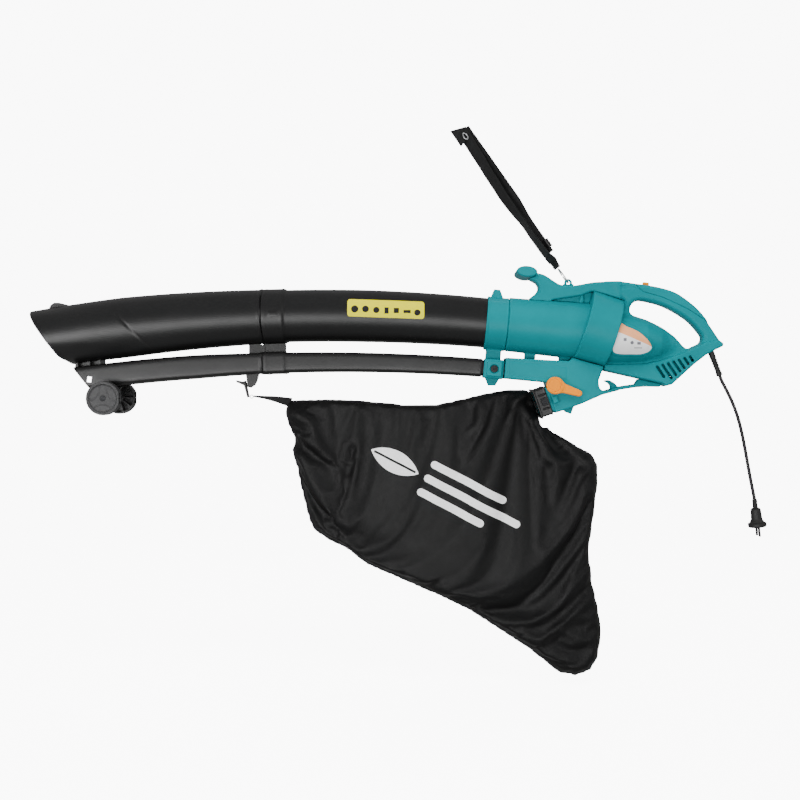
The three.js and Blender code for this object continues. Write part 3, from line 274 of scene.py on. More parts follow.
def bag_cloth():
    """Coated black nylon, with a plain leaf and three stripes printed in white on each side."""
    f = Finish("bag_nylon", 0.5, Sheen_Weight=0.02, Sheen_Roughness=0.4, Specular_IOR_Level=0.2)
    turn = math.radians(-27)
    across = (f.x + 0.44) * math.cos(turn) + (f.z + 0.375) * math.sin(turn)
    up = (f.z + 0.375) * math.cos(turn) - (f.x + 0.44) * math.sin(turn)

    def from_point(cx, cz):
        return ((across - cx) ** 2.0 + (up - cz) ** 2.0) ** 0.5

    leaf = from_point(-0.118, -0.052).highest(from_point(-0.118, 0.052)) < 0.074
    vein = (abs(up) < 0.0022) * ((abs(across + 0.118) < 0.046))
    print_mask = leaf * (1 - vein)
    for height, left, right in ((0.030, -0.045, 0.105), (0.0, -0.045, 0.150), (-0.030, -0.045, 0.085)):
        middle, half = (left + right) / 2, (right - left) / 2
        beyond = (abs(across - middle) - half).highest(0.0)
        bar = (beyond ** 2.0 + (up - height) ** 2.0) ** 0.5 < 0.0075
        print_mask = print_mask.highest(bar)
    thread = 2 * math.pi / 0.0011
    weave = (f.x * thread).sine() * (f.z * thread).sine()
    rub = f.noise(14, 5).soft(0.5, 0.8)
    cloth = f.blend(rub * 0.5, rgb(0.0035, 0.0035, 0.0036), rgb(0.009, 0.009, 0.0093))
    ink = f.blend(f.noise(500, 2).soft(0.35, 0.5), rgb(0.9, 0.9, 0.9), rgb(1.0, 1.0, 1.0))
    f.set(Base_Color=f.blend(print_mask, cloth, ink))
    f.set(Roughness=f.noise(30, 3) * 0.18 + 0.38 + print_mask * 0.1)
    f.set(Normal=f.bump(weave * 0.25 + f.noise(55, 5) * 2.2, 0.35, 0.0008))
    return f


def label_film(name, ground, ink, marks, band=None):
    """Printed film with plain marks: discs (x, z, radius) and blocks (x, z, half width, half height)."""
    f = Finish(name, 0.4, Specular_IOR_Level=0.06)
    mask = None
    for mark in marks:
        dx, dz = f.x - mark[0] * MM, f.z - mark[1] * MM
        if len(mark) == 3:
            shape = (dx ** 2.0 + dz ** 2.0) ** 0.5 < mark[2] * MM
        else:
            shape = (abs(dx) < mark[2] * MM) * (abs(dz) < mark[3] * MM)
        mask = shape if mask is None else mask.highest(shape)
    base = f.blend(f.noise(120, 3).soft(0.3, 0.8), ground, rgb(*(c * 0.94 for c in ground[:3])))
    if band:
        colour, x0, z0, x1, z1 = band
        side = (f.x - x0 * MM) * ((z1 - z0) * MM) - (f.z - z0 * MM) * ((x1 - x0) * MM)
        base = f.blend(side < 0.0, base, colour)
    f.set(Base_Color=f.blend(mask, base, ink))
    f.set(Roughness=f.noise(90, 2) * 0.1 + 0.3)
    f.set(Normal=f.bump(f.noise(260, 2), 0.06, 0.0002))
    return f


TEAL = rgb(0.0, 0.225, 0.255)
finishes = {}


def make_finishes():
    made = {
        "teal_plastic": moulded("teal_moulding", TEAL, 0.4, grain=0.07, wear=0.1, Specular_IOR_Level=0.09),
        "black_plastic": moulded(
            "black_moulding", rgb(0.0075, 0.0075, 0.0077), 0.38, grain=0.2, wear=0.2,
            Specular_IOR_Level=0.36
        ),
        "inner_plastic": moulded(
            "dark_moulding", rgb(0.012, 0.013, 0.015), 0.5, grain=0.15, Specular_IOR_Level=0.35
        ),
        "wheel_plastic": moulded(
            "wheel_moulding", rgb(0.035, 0.035, 0.036), 0.55, grain=0.3, wear=0.4, Specular_IOR_Level=0.4
        ),
        "orange_plastic": moulded(
            "orange_moulding", rgb(1.0, 0.29, 0.0), 0.4, grain=0.06, wear=0.05, Specular_IOR_Level=0.08
        ),
        "rubber": moulded(
            "cord_rubber", rgb(0.011, 0.011, 0.011), 0.55, grain=0.18, wear=0.1, Specular_IOR_Level=0.35
        ),
        "steel": metal_finish("plain_steel", rgb(0.62, 0.63, 0.64), 0.28),
        "copper": metal_finish("enamelled_copper", rgb(0.55, 0.22, 0.08), 0.35, 0.5),
        "lamination": metal_finish("steel_laminations", rgb(0.2, 0.21, 0.22), 0.55, 0.6),
        "webbing": woven(
            "strap_weave", rgb(0.005, 0.005, 0.0052), rgb(0.017, 0.017, 0.018), 0.0024, 0.75, 0.8
        ),
        "bag_fabric": bag_cloth(),
        "yellow_label": label_film(
            "yellow_film", rgb(0.78, 0.72, 0.0), rgb(0.02, 0.02, 0.02),
            [(-622, -22, 7), (-601, -22, 6.5), (-580, -24, 6), (-560, -25, 4, 6), (-541, -25, 5, 5),
             (-520, -27, 7, 3), (-500, -29, 6)]),
        "white_label": label_film(
            "rating_film", rgb(0.93, 0.93, 0.93), rgb(0.2, 0.2, 0.22),
            [(-98, -82, 3, 3), (-84, -88, 3.4), (-70, -89, 3.6, 2.6), (-71, -98, 8, 0.8)],
            band=(rgb(0.95, 0.42, 0.2), -112, -67, -44, -95)),
    }
    finishes.update({slot: f.material for slot, f in made.items()})


# ---------------------------------------------------------------- meshes

def place_on_arc(arc, x, up=0.0):
    """The point of an arc at x, raised from its line by up. Works on numbers and on arrays."""
    apex_x, apex_z, radius = arc
    turn = np.arcsin((x - apex_x) / radius)
    return apex_x + (radius + up) * np.sin(turn), apex_z - radius + (radius + up) * np.cos(turn)


def from_frame(at, along, up=0.0):
    t = math.radians(at["tilt"])
    return (at["x"] + along * math.cos(t) + up * math.sin(t),
            at["z"] - along * math.sin(t) + up * math.cos(t))


def spline(points, count, closed=False):
    """A smooth run through points, as count points spaced evenly by parameter."""
    p = np.array(points, float)
    n = len(p)
    if closed:
        p = np.vstack([p[-1], p, p[0], p[1]])
        spans = n
    else:
        p = np.vstack([2 * p[0] - p[1], p, 2 * p[-1] - p[-2]])
        spans = n - 1
    t = np.linspace(0, spans, count, endpoint=not closed)
    i = np.minimum(t.astype(int), spans - 1)
    u = (t - i)[:, None]
    a, b, c, d = p[i], p[i + 1], p[i + 2], p[i + 3]
    return 0.5 * ((2 * b) + (c - a) * u + (2 * a - 5 * b + 4 * c - d) * u**2 + (3 * b - a - 3 * c + d) * u**3)


def make_piece(name, verts, faces, slot, body, replaced=(), crisp=38):
    """A mesh from millimetres, shaded smooth with its edges sharper than crisp degrees kept."""
    mesh = bpy.data.meshes.new(name)
    mesh.from_pydata((np.asarray(verts) * MM).tolist(), [], [tuple(f) for f in np.asarray(faces).tolist()]
                     if isinstance(faces, np.ndarray) else faces)
    mesh.update()
    piece = bpy.data.objects.new(name, mesh)
    bpy.context.collection.objects.link(piece)
    finish_piece(piece, slot, crisp)
    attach(piece, body)
    if replaced:
        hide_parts(*([replaced] if isinstance(replaced, str) else replaced))
    return piece


def finish_piece(piece, slot, crisp=38):
    mesh = piece.data
    mesh.materials.clear()
    mesh.materials.append(finishes[slot])
    mesh.shade_smooth()
    mesh.set_sharp_from_angle(angle=math.radians(crisp))


def scratch(name, verts, faces):
    mesh = bpy.data.meshes.new(name)
    mesh.from_pydata((np.asarray(verts) * MM).tolist(), [], [list(map(int, f)) for f in faces])
    made = bpy.data.objects.new(name, mesh)
    bpy.context.collection.objects.link(made)
    return made


def combine(piece, operation, others):
    """Joins or cuts closed meshes, and removes the ones that were used up."""
    for other in others:
        step = piece.modifiers.new("step", "BOOLEAN")
        step.object, step.operation, step.solver = other, operation, "EXACT"
        settle(piece)
        bpy.data.objects.remove(other)
    return piece


def settle(piece):
    """Applies the modifiers of a piece."""
    graph = bpy.context.evaluated_depsgraph_get()
    done = bpy.data.meshes.new_from_object(piece.evaluated_get(graph))
    piece.modifiers.clear()
    piece.data = done


def torus_faces(rows, columns):
    """Quads of a sheet that closes on itself both ways."""
    i, j = np.meshgrid(np.arange(rows), np.arange(columns), indexing="ij")
    i, j = i.ravel(), j.ravel()
    i1, j1 = (i + 1) % rows, (j + 1) % columns
    return np.stack([i * columns + j, i1 * columns + j, i1 * columns + j1, i * columns + j1], axis=1)


def slab_mesh(name, points, y0, y1):
    """A plain extruded outline, as a cutter or a small lug."""
    n = len(points)
    verts = [(x, y, z) for y in (y0, y1) for x, z in points]
    area = sum(a[0] * b[1] - a[1] * b[0] for a, b in zip(points, points[1:] + points[:1]))
    faces = [list(range(n)), list(range(2 * n - 1, n - 1, -1))]
    faces += [[i, i + n, (i + 1) % n + n, (i + 1) % n] for i in range(n)]
    if area < 0:
        faces = [f[::-1] for f in faces]
    return scratch(name, verts, faces)


# ---------------------------------------------------------------- moulded solids

def distance_to_outline(points, px, pz):
    """Signed distance from (px, pz) to a closed outline, negative inside."""
    p = np.asarray(points, np.float32)
    q = np.roll(p, -1, axis=0)
    shape = np.broadcast(px, pz).shape
    best = np.full(shape, 1e12, np.float32)
    inside = np.zeros(shape, bool)
    for (ax, az), (bx, bz) in zip(p, q):
        ex, ez = bx - ax, bz - az
        wx, wz = px - ax, pz - az
        t = np.clip((wx * ex + wz * ez) / max(ex * ex + ez * ez, 1e-9), 0, 1)
        best = np.minimum(best, (wx - ex * t) ** 2 + (wz - ez * t) ** 2)
        if az != bz:
            crosses = ((pz >= az) != (pz >= bz)) & (px < ax + (pz - az) * ex / ez)
            inside ^= crosses
    return np.where(inside, -np.sqrt(best), np.sqrt(best))


def rounded(a, b, ease):
    """Where two slabs meet, with the outer edge eased."""
    ax, bx = a + ease, b + ease
    return np.sqrt(np.maximum(ax, 0) ** 2 + np.maximum(bx, 0) ** 2) + np.minimum(np.maximum(ax, bx), 0) - ease


def blended(a, b, reach):
    """The union of two solids with a fillet."""
    h = np.clip(0.5 + 0.5 * (b - a) / reach, 0, 1)
    return b + (a - b) * h - reach * h * (1 - h)


def carved(a, b, reach=0.0):
    """a with b taken out of it, with the new edge eased by reach."""
    return -blended(-a, b, reach) if reach else np.maximum(a, -b)


class Moulding:
    """A grid of distances, in millimetres, on which solids are joined, cut and then meshed."""

    def __init__(self, low, high, step):
        self.low, self.step = np.array(low, np.float32), step
        axes = [np.arange(a, b + step, step, dtype=np.float32) for a, b in zip(low, high)]
        self.x, self.y, self.z = np.meshgrid(*axes, indexing="ij", sparse=True)

    def frame(self, at):
        t = math.radians(at["tilt"])
        dx, dz = self.x - at["x"], self.z - at["z"]
        return dx * math.cos(t) - dz * math.sin(t), dx * math.sin(t) + dz * math.cos(t)

    def plate(self, points, half, ease=1.0, middle=0.0):
        flat = distance_to_outline(points, self.x, self.z)
        return rounded(flat, np.abs(self.y - middle) - half, ease)

    def turned(self, profile, at, sideways=1.0):
        along, up = self.frame(at)
        across = np.sqrt(up**2 + (self.y / sideways) ** 2)
        mirror = [(a, -r) for a, r in reversed(profile) if r > 0]
        return distance_to_outline(list(profile) + mirror, np.broadcast_to(along, across.shape), across)

    def rod(self, at, start, end, r0, r1=None, ease=0.6):
        """A round bar or cone along a tilted axis."""
        along, up = self.frame(at)
        r1 = r0 if r1 is None else r1
        radius = r0 + (r1 - r0) * np.clip((along - start) / (end - start), 0, 1)
        across = np.sqrt(up**2 + self.y**2)
        return rounded(across - radius, np.abs(along - (start + end) / 2) - (end - start) / 2, ease)

    def pin(self, x, z, radius, y0, y1, ease=0.5):
        """A round bar along Y."""
        across = np.sqrt((self.x - x) ** 2 + (self.z - z) ** 2) - radius
        return rounded(across, np.abs(self.y - (y0 + y1) / 2) - (y1 - y0) / 2, ease)

    def box(self, at, size, y=0.0, ease=1.0):
        along, up = self.frame(at)
        flat = rounded(np.abs(along) - size[0] / 2, np.abs(up) - size[2] / 2, ease)
        return rounded(flat, np.abs(self.y - y) - size[1] / 2, ease)

    def mesh(self, d):
        """The surface where the distance is nought, as vertices and quads."""
        d = np.ascontiguousarray(
            np.broadcast_to(d, (self.x.size, self.y.size, self.z.size)), dtype=np.float32
        )
        solid = d < 0
        corners = [(i, j, k) for i in (0, 1) for j in (0, 1) for k in (0, 1)]
        filled = np.zeros([n - 1 for n in d.shape], np.int8)
        for i, j, k in corners:
            filled += solid[i:i + filled.shape[0], j:j + filled.shape[1], k:k + filled.shape[2]]
        mixed = (filled > 0) & (filled < 8)
        cells = np.argwhere(mixed)
        number = np.full(filled.shape, -1, np.int64)
        number[mixed] = np.arange(len(cells))
        total = np.zeros((len(cells), 3), np.float64)
        count = np.zeros(len(cells))
        for a in corners:
            for axis in range(3):
                if a[axis]:
                    continue
                b = tuple(v + (n == axis) for n, v in enumerate(a))
                da = d[tuple((cells + a).T)]
                db = d[tuple((cells + b).T)]
                crosses = (da < 0) != (db < 0)
                t = np.where(crosses, da / np.where(crosses, da - db, 1), 0)
                point = np.array(a, float) + np.outer(t, np.eye(3)[axis])
                total += point * crosses[:, None]
                count += crosses
        verts = cells + total / count[:, None]
        quads = []
        for axis in range(3):
            u, v = [n for n in range(3) if n != axis]
            first = [slice(1, n - 1) for n in d.shape]
            first[axis] = slice(0, d.shape[axis] - 1)
            second = list(first)
            second[axis] = slice(1, d.shape[axis])
            start, stop = solid[tuple(first)], solid[tuple(second)]
            edge = np.argwhere(start != stop)
            outward = start[tuple(edge.T)]
            edge[:, u] += 1
            edge[:, v] += 1
            around = []
            for du, dv in ((0, 0), (1, 0), (1, 1), (0, 1)):
                at = edge.copy()
                at[:, u] -= du
                at[:, v] -= dv
                around.append(number[tuple(at.T)])
            ring = np.stack(around, axis=1)
            flip = outward if axis != 1 else ~outward
            ring[~flip] = ring[~flip][:, ::-1]
            quads.append(ring)
        verts = self.fit(d, verts)
        return verts * self.step + self.low, np.concatenate(quads)

    def fit(self, d, verts):
        """Moves vertices onto the surface between the grid's points."""
        limit = np.array(d.shape) - 1.001

        def sample(p):
            p = np.clip(p, 0, limit)
            i = p.astype(int)
            f = p - i
            value = 0
            for c in ((0, 0, 0), (1, 0, 0), (0, 1, 0), (0, 0, 1), (1, 1, 0), (1, 0, 1), (0, 1, 1), (1, 1, 1)):
                weight = np.prod([f[:, n] if c[n] else 1 - f[:, n] for n in range(3)], axis=0)
                value = value + weight * d[tuple((i + c).T)]
            return value

        for _ in range(2):
            slope = np.stack([sample(verts + e) - sample(verts - e) for e in np.eye(3) * 0.5], axis=1)
            size = np.maximum((slope**2).sum(axis=1), 0.05 * self.step**2)
            move = np.clip(sample(verts) / size, -0.8, 0.8)
            verts = verts - slope * move[:, None]
        return verts

    def piece(self, name, d, slot, body, replaced=(), crisp=50):
        verts, faces = self.mesh(d)
        return make_piece(name, verts, faces, slot, body, replaced, crisp)

    def mirrored(self, name, d, slot, body, replaced=(), crisp=50):
        verts, faces = self.mesh(d)
        return make_piece(name, verts * (1, -1, 1), faces[:, ::-1], slot, body, replaced, crisp)


# ---------------------------------------------------------------- cord and plug

CORD_POINTS = [
    (106.5, -160.5), (111.8, -171), (118, -183), (124.4, -196), (130.6, -210.4), (136.4, -226), (141.6, -243),
    (146.4, -262), (150.8, -283), (154.8, -304), (158.2, -323), (161.8, -343), (165.6, -363), (169.4, -382),
]
PLUG = dict(x=172.5, z=-398.0, tilt=83.7)
RELIEF_LENGTH = 45.0


def make_cord():
    start = from_frame(CORD_EXIT, RELIEF_LENGTH + 0.3)
    line = spline([start, *CORD_POINTS, (PLUG["x"], PLUG["z"])], 120)
    steps = np.gradient(line, axis=0)
    steps /= np.linalg.norm(steps, axis=1)[:, None]
    angles = np.linspace(0, 2 * math.pi, 20, endpoint=False)
    rings = [
        (x + 3.5 * math.cos(a) * -tz, 3.5 * math.sin(a), z + 3.5 * math.cos(a) * tx)
        for (x, z), (tx, tz) in zip(line, steps) for a in angles
    ]
    n, m = len(line), len(angles)
    faces = [[i * m + j, i * m + (j + 1) % m, (i + 1) * m + (j + 1) % m, (i + 1) * m + j]
             for i in range(n - 1) for j in range(m)]
    faces += [list(range(m - 1, -1, -1)), list(range((n - 1) * m, n * m))]
    cord = make_piece("supply_cord", rings, faces, "rubber", "machine", "power_cord")
    path = [(x * MM, 0.0, z * MM) for x, z in line]
    plug = make_plug()


def make_plug():
    m = Moulding((150, -21, -476), (204, 21, -394), 0.8)
    along, up = m.frame(PLUG)
    ribs = 0.7 * np.clip(np.sin(along * 2 * math.pi / 3.4) * 3, -1, 1) * ((along > 2) & (along < 19))
    sides = np.sqrt(up**2 + (m.y / 1.0) ** 2)
    neck = rounded(sides - 5.4 + 0.4 - ribs * 0.5, np.abs(along - 11) - 11 + 0.3, 0.6)
    body = m.turned([(18, 0), (18, 8), (21, 10), (40, 11.5), (47, 14.5), (49, 16), (49, 0)], PLUG)
    grip = m.turned([(47.5, 0), (47.5, 17.6), (48.5, 18), (54, 18), (56, 16), (56, 0)], PLUG)
    whole = blended(blended(neck, body, 3), grip, 2)
    for side in (-1, 1):
        across = np.sqrt(up**2 + (m.y - side * 8.5) ** 2)
        whole = np.minimum(whole, rounded(across - 2.4, np.abs(along - 64) - 10.4, 1.2))
        dent = np.sqrt((along - 34) ** 2 + (m.y * 0.5) ** 2) - 7
        whole = carved(whole, np.maximum(dent, 10.6 - side * up), 1.0)
    return m.piece("mains_plug", whole, "rubber", "machine", "plug")


def make_relief():
    m = Moulding((70, -9, -158), (114, 9, -88), 0.8)
    along, up = m.frame(CORD_EXIT)
    radius = 6.2 - along * 0.8 / RELIEF_LENGTH
    groove = (np.abs(np.mod(along, 6) - 3) < 0.9) & (along > 4) & (along < 36)
    across = np.sqrt(up**2 + m.y**2)
    body = rounded(across - radius + groove * 0.9, np.abs(along - 15.5) - 29.2, 0.6)
    collar = rounded(across - 6.1, np.abs(along - 41.5) - 3.2, 0.6)
    m.piece("cord_guard", np.minimum(body, collar), "rubber", "machine", "strain_relief")


# ---------------------------------------------------------------- suction tube and blow duct

TUBE_RADII = [(-332, 49.6), (-365, 49.6), (-600, 52), (-762, 52), (-805, 54), (-1080, 60), (-1268, 58.5)]
SOCKET = (-804.5, -762.0)
MOUTH = [
    (-1269, -20), (-1265, -28), (-1254.5, -41.5), (-1232, -70), (-1214, -96), (-1202.5, -115),
    (-1190, -125), (-1184, -138)
]
TUBE_WALL = 3.0


def tube_radius(x):
    stations = sorted(TUBE_RADII)
    return np.interp(x, [s[0] for s in stations], [s[1] for s in stations])


def mouth_x(z):
    line = spline(MOUTH, 60)
    return np.interp(-z, -line[:, 1], line[:, 0])


def swept_tube(name, starts, end, radius_out, radius_in, steps, around, replaced, detail=None):
    """A bent tube whose front end is at starts, one value for each line along it."""
    angles = np.linspace(0, 2 * math.pi, around, endpoint=False)
    share = np.linspace(0, 1, steps)[:, None]
    x = starts[None, :] + (end - starts[None, :]) * share
    rows = []
    for radius, order in ((radius_out, 1), (radius_in, -1)):
        r = radius(x)
        if detail and order == 1:
            r = r + detail(x, angles[None, :])
        px, pz = place_on_arc(TUBE_ARC, x, r * np.sin(angles))
        rows.append(np.stack([px, r * np.cos(angles) + 0 * px, pz], axis=-1)[::order])
    grid = np.concatenate(rows)
    return make_piece(name, grid.reshape(-1, 3), torus_faces(2 * steps, around)[:, ::-1], "black_plastic",
                      "machine", replaced)


def front_tube_outer(x):
    r = tube_radius(x)
    bead = np.exp(-(((x - SPLIT_X + 3.5) / 2.6) ** 4)) * 1.8
    spigot = x > SPLIT_X - 0.2
    return np.where(spigot, 51.2, r + bead)


def front_tube_detail(x, angle):
    """The moulding line across the side of the nozzle, parallel to its mouth, and a step at the lip."""
    z = place_on_arc(TUBE_ARC, x, tube_radius(x) * np.sin(angle))[1]
    centre = -1076 + (-40 - z) * 0.84
    near_side = np.clip((np.abs(np.cos(angle)) - 0.2) / 0.2, 0, 1)
    fade = np.clip((z + 100) / 12, 0, 1) * np.clip((-22 - z) / 12, 0, 1) * near_side
    line = -1.3 * np.exp(-(((x - centre) / 2.4) ** 2)) * fade
    rise = 0.9 / (1 + np.exp((x - centre) / 1.6)) * fade
    return line + rise


def make_front_tube():
    around = 144
    angles = np.linspace(0, 2 * math.pi, around, endpoint=False)
    starts = np.full(around, -1230.0)
    for _ in range(30):
        x, z = place_on_arc(TUBE_ARC, starts, tube_radius(starts) * np.sin(angles))
        starts = starts + 0.6 * (mouth_x(z) - x)
    inner = lambda x: np.where(x > SPLIT_X - 2, 48.4, tube_radius(x) - TUBE_WALL)
    tube = swept_tube("nozzle_tube", starts, SPLIT_X + 41, front_tube_outer, inner, 190, around,
                      "front_suction_tube", front_tube_detail)
    x0, z0 = place_on_arc(TUBE_ARC, -1228.0, 56.5)
    x1, z1 = place_on_arc(TUBE_ARC, -1182.0, 56.5)
    rib = slab_mesh(
        "rib", [(x0, z0 - 1), (x1, z1), (x0 + 22, z0 + 13.6), (x0 + 12, z0 + 13.8), (x0 + 5, z0 + 9)],
                    -6, 6)
    combine(tube, "UNION", [rib])
    finish_piece(tube, "black_plastic")


def make_rear_tube():
    around = 144
    socket = lambda x: 1 / (1 + np.exp((x - SOCKET[1]) / 0.9))
    outer = lambda x: tube_radius(x) * (1 - socket(x)) + 54.6 * socket(x)
    inner = lambda x: np.where(x < SPLIT_X + 42, 51.6, tube_radius(x) - TUBE_WALL)

    def detail(x, angle):
        ridge = 0.8 * np.exp(-(((x + 799) / 1.6) ** 2)) + 0.8 * np.exp(-(((x + 766) / 1.6) ** 2))
        z = 54 * np.sin(angle)
        boss = ((np.abs(x + 783) < 7) & (np.abs(z - 2) < 4.5) & (np.cos(angle) < 0)) * 0.9
        return ridge + boss

    swept_tube("middle_tube", np.full(around, SPLIT_X + 1), -332.0, outer, inner, 200, around,
               "rear_suction_tube", detail)


def duct_section(height, grow, count=56):
    """A rounded box section as (y, up) pairs, with every side a little bowed."""
    t = np.linspace(0, 2 * math.pi, count, endpoint=False) + 0.01
    power = 0.34
    y = np.sign(np.cos(t)) * np.abs(np.cos(t)) ** power * (28 + grow)
    up = np.sign(np.sin(t)) * np.abs(np.sin(t)) ** power * (height / 2 + grow)
    return y, up


def duct_height(x):
    return np.interp(x, [-1180, -945, -805, -365], [47, 47, 41, 36])


def swept_duct(start_at, end, grow_out, grow_in, steps, height):
    y0, up0 = duct_section(1.0, 0.0)
    starts = start_at(up0 * 40)
    share = np.linspace(0, 1, steps)[:, None]
    x = starts[None, :] + (end - starts[None, :]) * share
    rows = []
    for grow, order in ((grow_out, 1), (grow_in, -1)):
        g = grow(x)
        y = y0 * (28 + g) / 28
        up = up0 * 2 * (height(x) / 2 + g)
        px, pz = place_on_arc(DUCT_ARC, x, up)
        rows.append(np.stack([px, y + 0 * px, pz], axis=-1)[::order])
    grid = np.concatenate(rows)
    return grid.reshape(-1, 3), torus_faces(2 * steps, len(y0))[:, ::-1]


def make_front_duct():
    slant = lambda up: -1164 - up * 0.7
    bead = lambda x: np.exp(-(((x - SPLIT_X + 3.5) / 2.6) ** 4)) * 1.6
    grow_out = lambda x: np.where(x > SPLIT_X - 0.2, -1.7, bead(x))
    grow_in = lambda x: np.where(x > SPLIT_X - 2, -4.4, -3.0)
    height = lambda x: np.where(x > SPLIT_X - 8, 41.0, duct_height(x))
    verts, faces = swept_duct(slant, SPLIT_X + 41, grow_out, grow_in, 150, height)
    duct = make_piece("lower_front_duct", verts, faces, "black_plastic", "machine", "front_blow_duct")
    gap_top = lambda x: place_on_arc(TUBE_ARC, x, -tube_radius(x) - 0.3)[1]
    posts = [
        slab_mesh(
            "post",
            [(x - 3.5, -142), (x + 3.5, -142), (x + 2.5, gap_top(x + 3)), (x - 2.5, gap_top(x - 3))],
            -15, 15,
        )
        for x in POST_AT
    ]
    x0, x1, x2 = SPLIT_X - 30, SPLIT_X - 0.7, SPLIT_X + 2.0
    under = gap_top(SPLIT_X) - 2.2
    web = slab_mesh("web", [(x0, -112), (x1, -112), (x1, -104.2), (x2, -104.2), (x2, under), (x1 - 8, under),
                            (x1 - 8, gap_top(x1 - 8)), (x0, gap_top(x0))], -13, 13)
    web2 = slab_mesh(
        "rib", [(-1178, -141), (-1130, -141), (-1130, gap_top(-1130)), (-1178, gap_top(-1178))], -3, 3
    )
    lug = [(-843, -146), (-818, -147), (-822, -162), (-826, -170), (-834, -175.5), (-839, -174)]
    ear = [(AXLE[0] + dx, AXLE[1] + dz) for dx, dz in ((-22, 22), (26, 22), (8, -6), (-8, -6))]
    ears = [slab_mesh("ear", ear, y - 3, y + 3) for y in (-22, 22)]
    combine(duct, "UNION", [*posts, web2, web, *ears, slab_mesh("lug", lug, -8, 8)])
    at = dict(x=-1147.5, z=-159.0, tilt=8.0)
    slot = [from_frame(at, a, u) for a, u in ((-4.5, -5.5), (4.5, -5.5), (4.5, 5.5), (-4.5, 5.5))]
    notch = [from_frame(at, a, u) for a, u in ((-35, -5.5), (9, -5.5), (9, 5.5), (-35, 5.5))]
    hook_at = dict(x=-838.0, z=-166.0, tilt=-19.4)
    window = [from_frame(hook_at, a, u) for a, u in ((-14, -2.6), (9, -2.6), (9, 2.6), (-14, 2.6))]
    bore = [(AXLE[0] + AXLE_BORE_R * math.cos(a), AXLE[1] + AXLE_BORE_R * math.sin(a))
            for a in np.linspace(0, 2 * math.pi, 20, endpoint=False)]
    combine(duct, "DIFFERENCE", [
        slab_mesh("slot", slot, -60, 60),
        slab_mesh("notch", notch, 20, 60),
        slab_mesh("window", window, -4, 4),
        slab_mesh("bore", bore, -60, 60),
    ])
    finish_piece(duct, "black_plastic")


def make_rear_duct():
    band = lambda x: 1 / (1 + np.exp((x - SPLIT_X - 44) / 0.8))
    neck = lambda x: 1 / (1 + np.exp(-(x + 373) / 0.5))
    ridge = lambda x: 0.7 * np.exp(-(((x + 799) / 1.5) ** 2)) + 0.7 * np.exp(-(((x + 766) / 1.5) ** 2))
    grow_out = lambda x: 1.6 * band(x) - 3.0 * neck(x) + ridge(x)
    grow_in = lambda x: np.where(x < SPLIT_X + 42, -1.4, np.where(x > -387, -5.5, -3.0))
    height = lambda x: np.where(x < SPLIT_X + 46, 41.0, duct_height(x))
    verts, faces = swept_duct(lambda up: SPLIT_X + 1 + 0 * up, -329.0, grow_out, grow_in, 170, height)
    duct = make_piece("lower_rear_duct", verts, faces, "black_plastic", "machine", "rear_blow_duct")
    top = lambda x: place_on_arc(TUBE_ARC, x, -55.1)[1]
    low = place_on_arc(DUCT_ARC, -787.0, 20.2)[1]
    x0, x1 = SPLIT_X + 2.7, SPLIT_X + 40.5
    web = slab_mesh("web", [(x0, low), (x1, low), (x1, top(x1)), (x0, top(x0))], -13, 13)
    combine(duct, "UNION", [web])
    finish_piece(duct, "black_plastic")


# ---------------------------------------------------------------- wheels

def make_wheels():
    m = Moulding((-1150, 37, -230), (-1080, 60, -160), 0.8)
    dx, dz = m.x - AXLE[0], m.z - AXLE[1]
    radius = np.sqrt(dx**2 + dz**2)
    angle = np.arctan2(dz, dx)
    tyre = m.pin(*AXLE, 33, 39.5, 57.5, 1.6)
    studs = np.clip(np.cos(angle * 34) * 2, -1, 1) * 0.5 * np.clip((33 - radius) / 3, 0, 1) * (radius > 27)
    face = 57.5 - 1.2 * (radius < 26.5) - 1.0 * np.exp(-(((radius - 26.5) / 0.9) ** 2)) + studs * 0.5 - 0.5
    wheel = np.maximum(tyre, m.y - face)
    for third in range(3):
        turn = third * 2 * math.pi / 3 + 0.5
        bx, bz = 38 * math.cos(turn), 38 * math.sin(turn)
        arc = np.abs(np.sqrt((dx - bx) ** 2 + (dz - bz) ** 2) - 26)
        groove = np.maximum(np.maximum(arc - 0.9, radius - 26), 55.2 - m.y)
        wheel = carved(wheel, groove, 0.4)
    hollow = np.maximum(np.maximum(radius - 29, 8.5 - radius), m.y - 52.5)
    rib = np.min(
        [np.abs(dx * math.sin(a) - dz * math.cos(a)) for a in np.arange(5) * math.pi / 5], axis=0
    ) - 1.1
    hollow = np.maximum(hollow, -rib)
    wheel = carved(wheel, hollow, 0.5)
    wheel = carved(wheel, m.pin(*AXLE, 4.0, 30, 52.5))
    wheel = carved(wheel, m.pin(*AXLE, 5.4, 54.0, 70), 0.6)
    m.piece("right_wheel_moulding", wheel, "wheel_plastic", "right_wheel", "wheel_right")
    m.mirrored("left_wheel_moulding", wheel, "wheel_plastic", "left_wheel", "wheel_left")
    h = Moulding((-1119, 52.5, -204), (-1103, 57, -188), 0.4)
    cap = h.pin(*AXLE, 5.0, 53.6, 55.4, 0.6)
    cap = carved(cap, h.pin(*AXLE, 2.2, 54.6, 60), 0.4)
    h.piece("right_hub_cap", cap, "inner_plastic", "right_wheel")
    h.mirrored("left_hub_cap", cap, "inner_plastic", "left_wheel")


# ---------------------------------------------------------------- teal mouldings

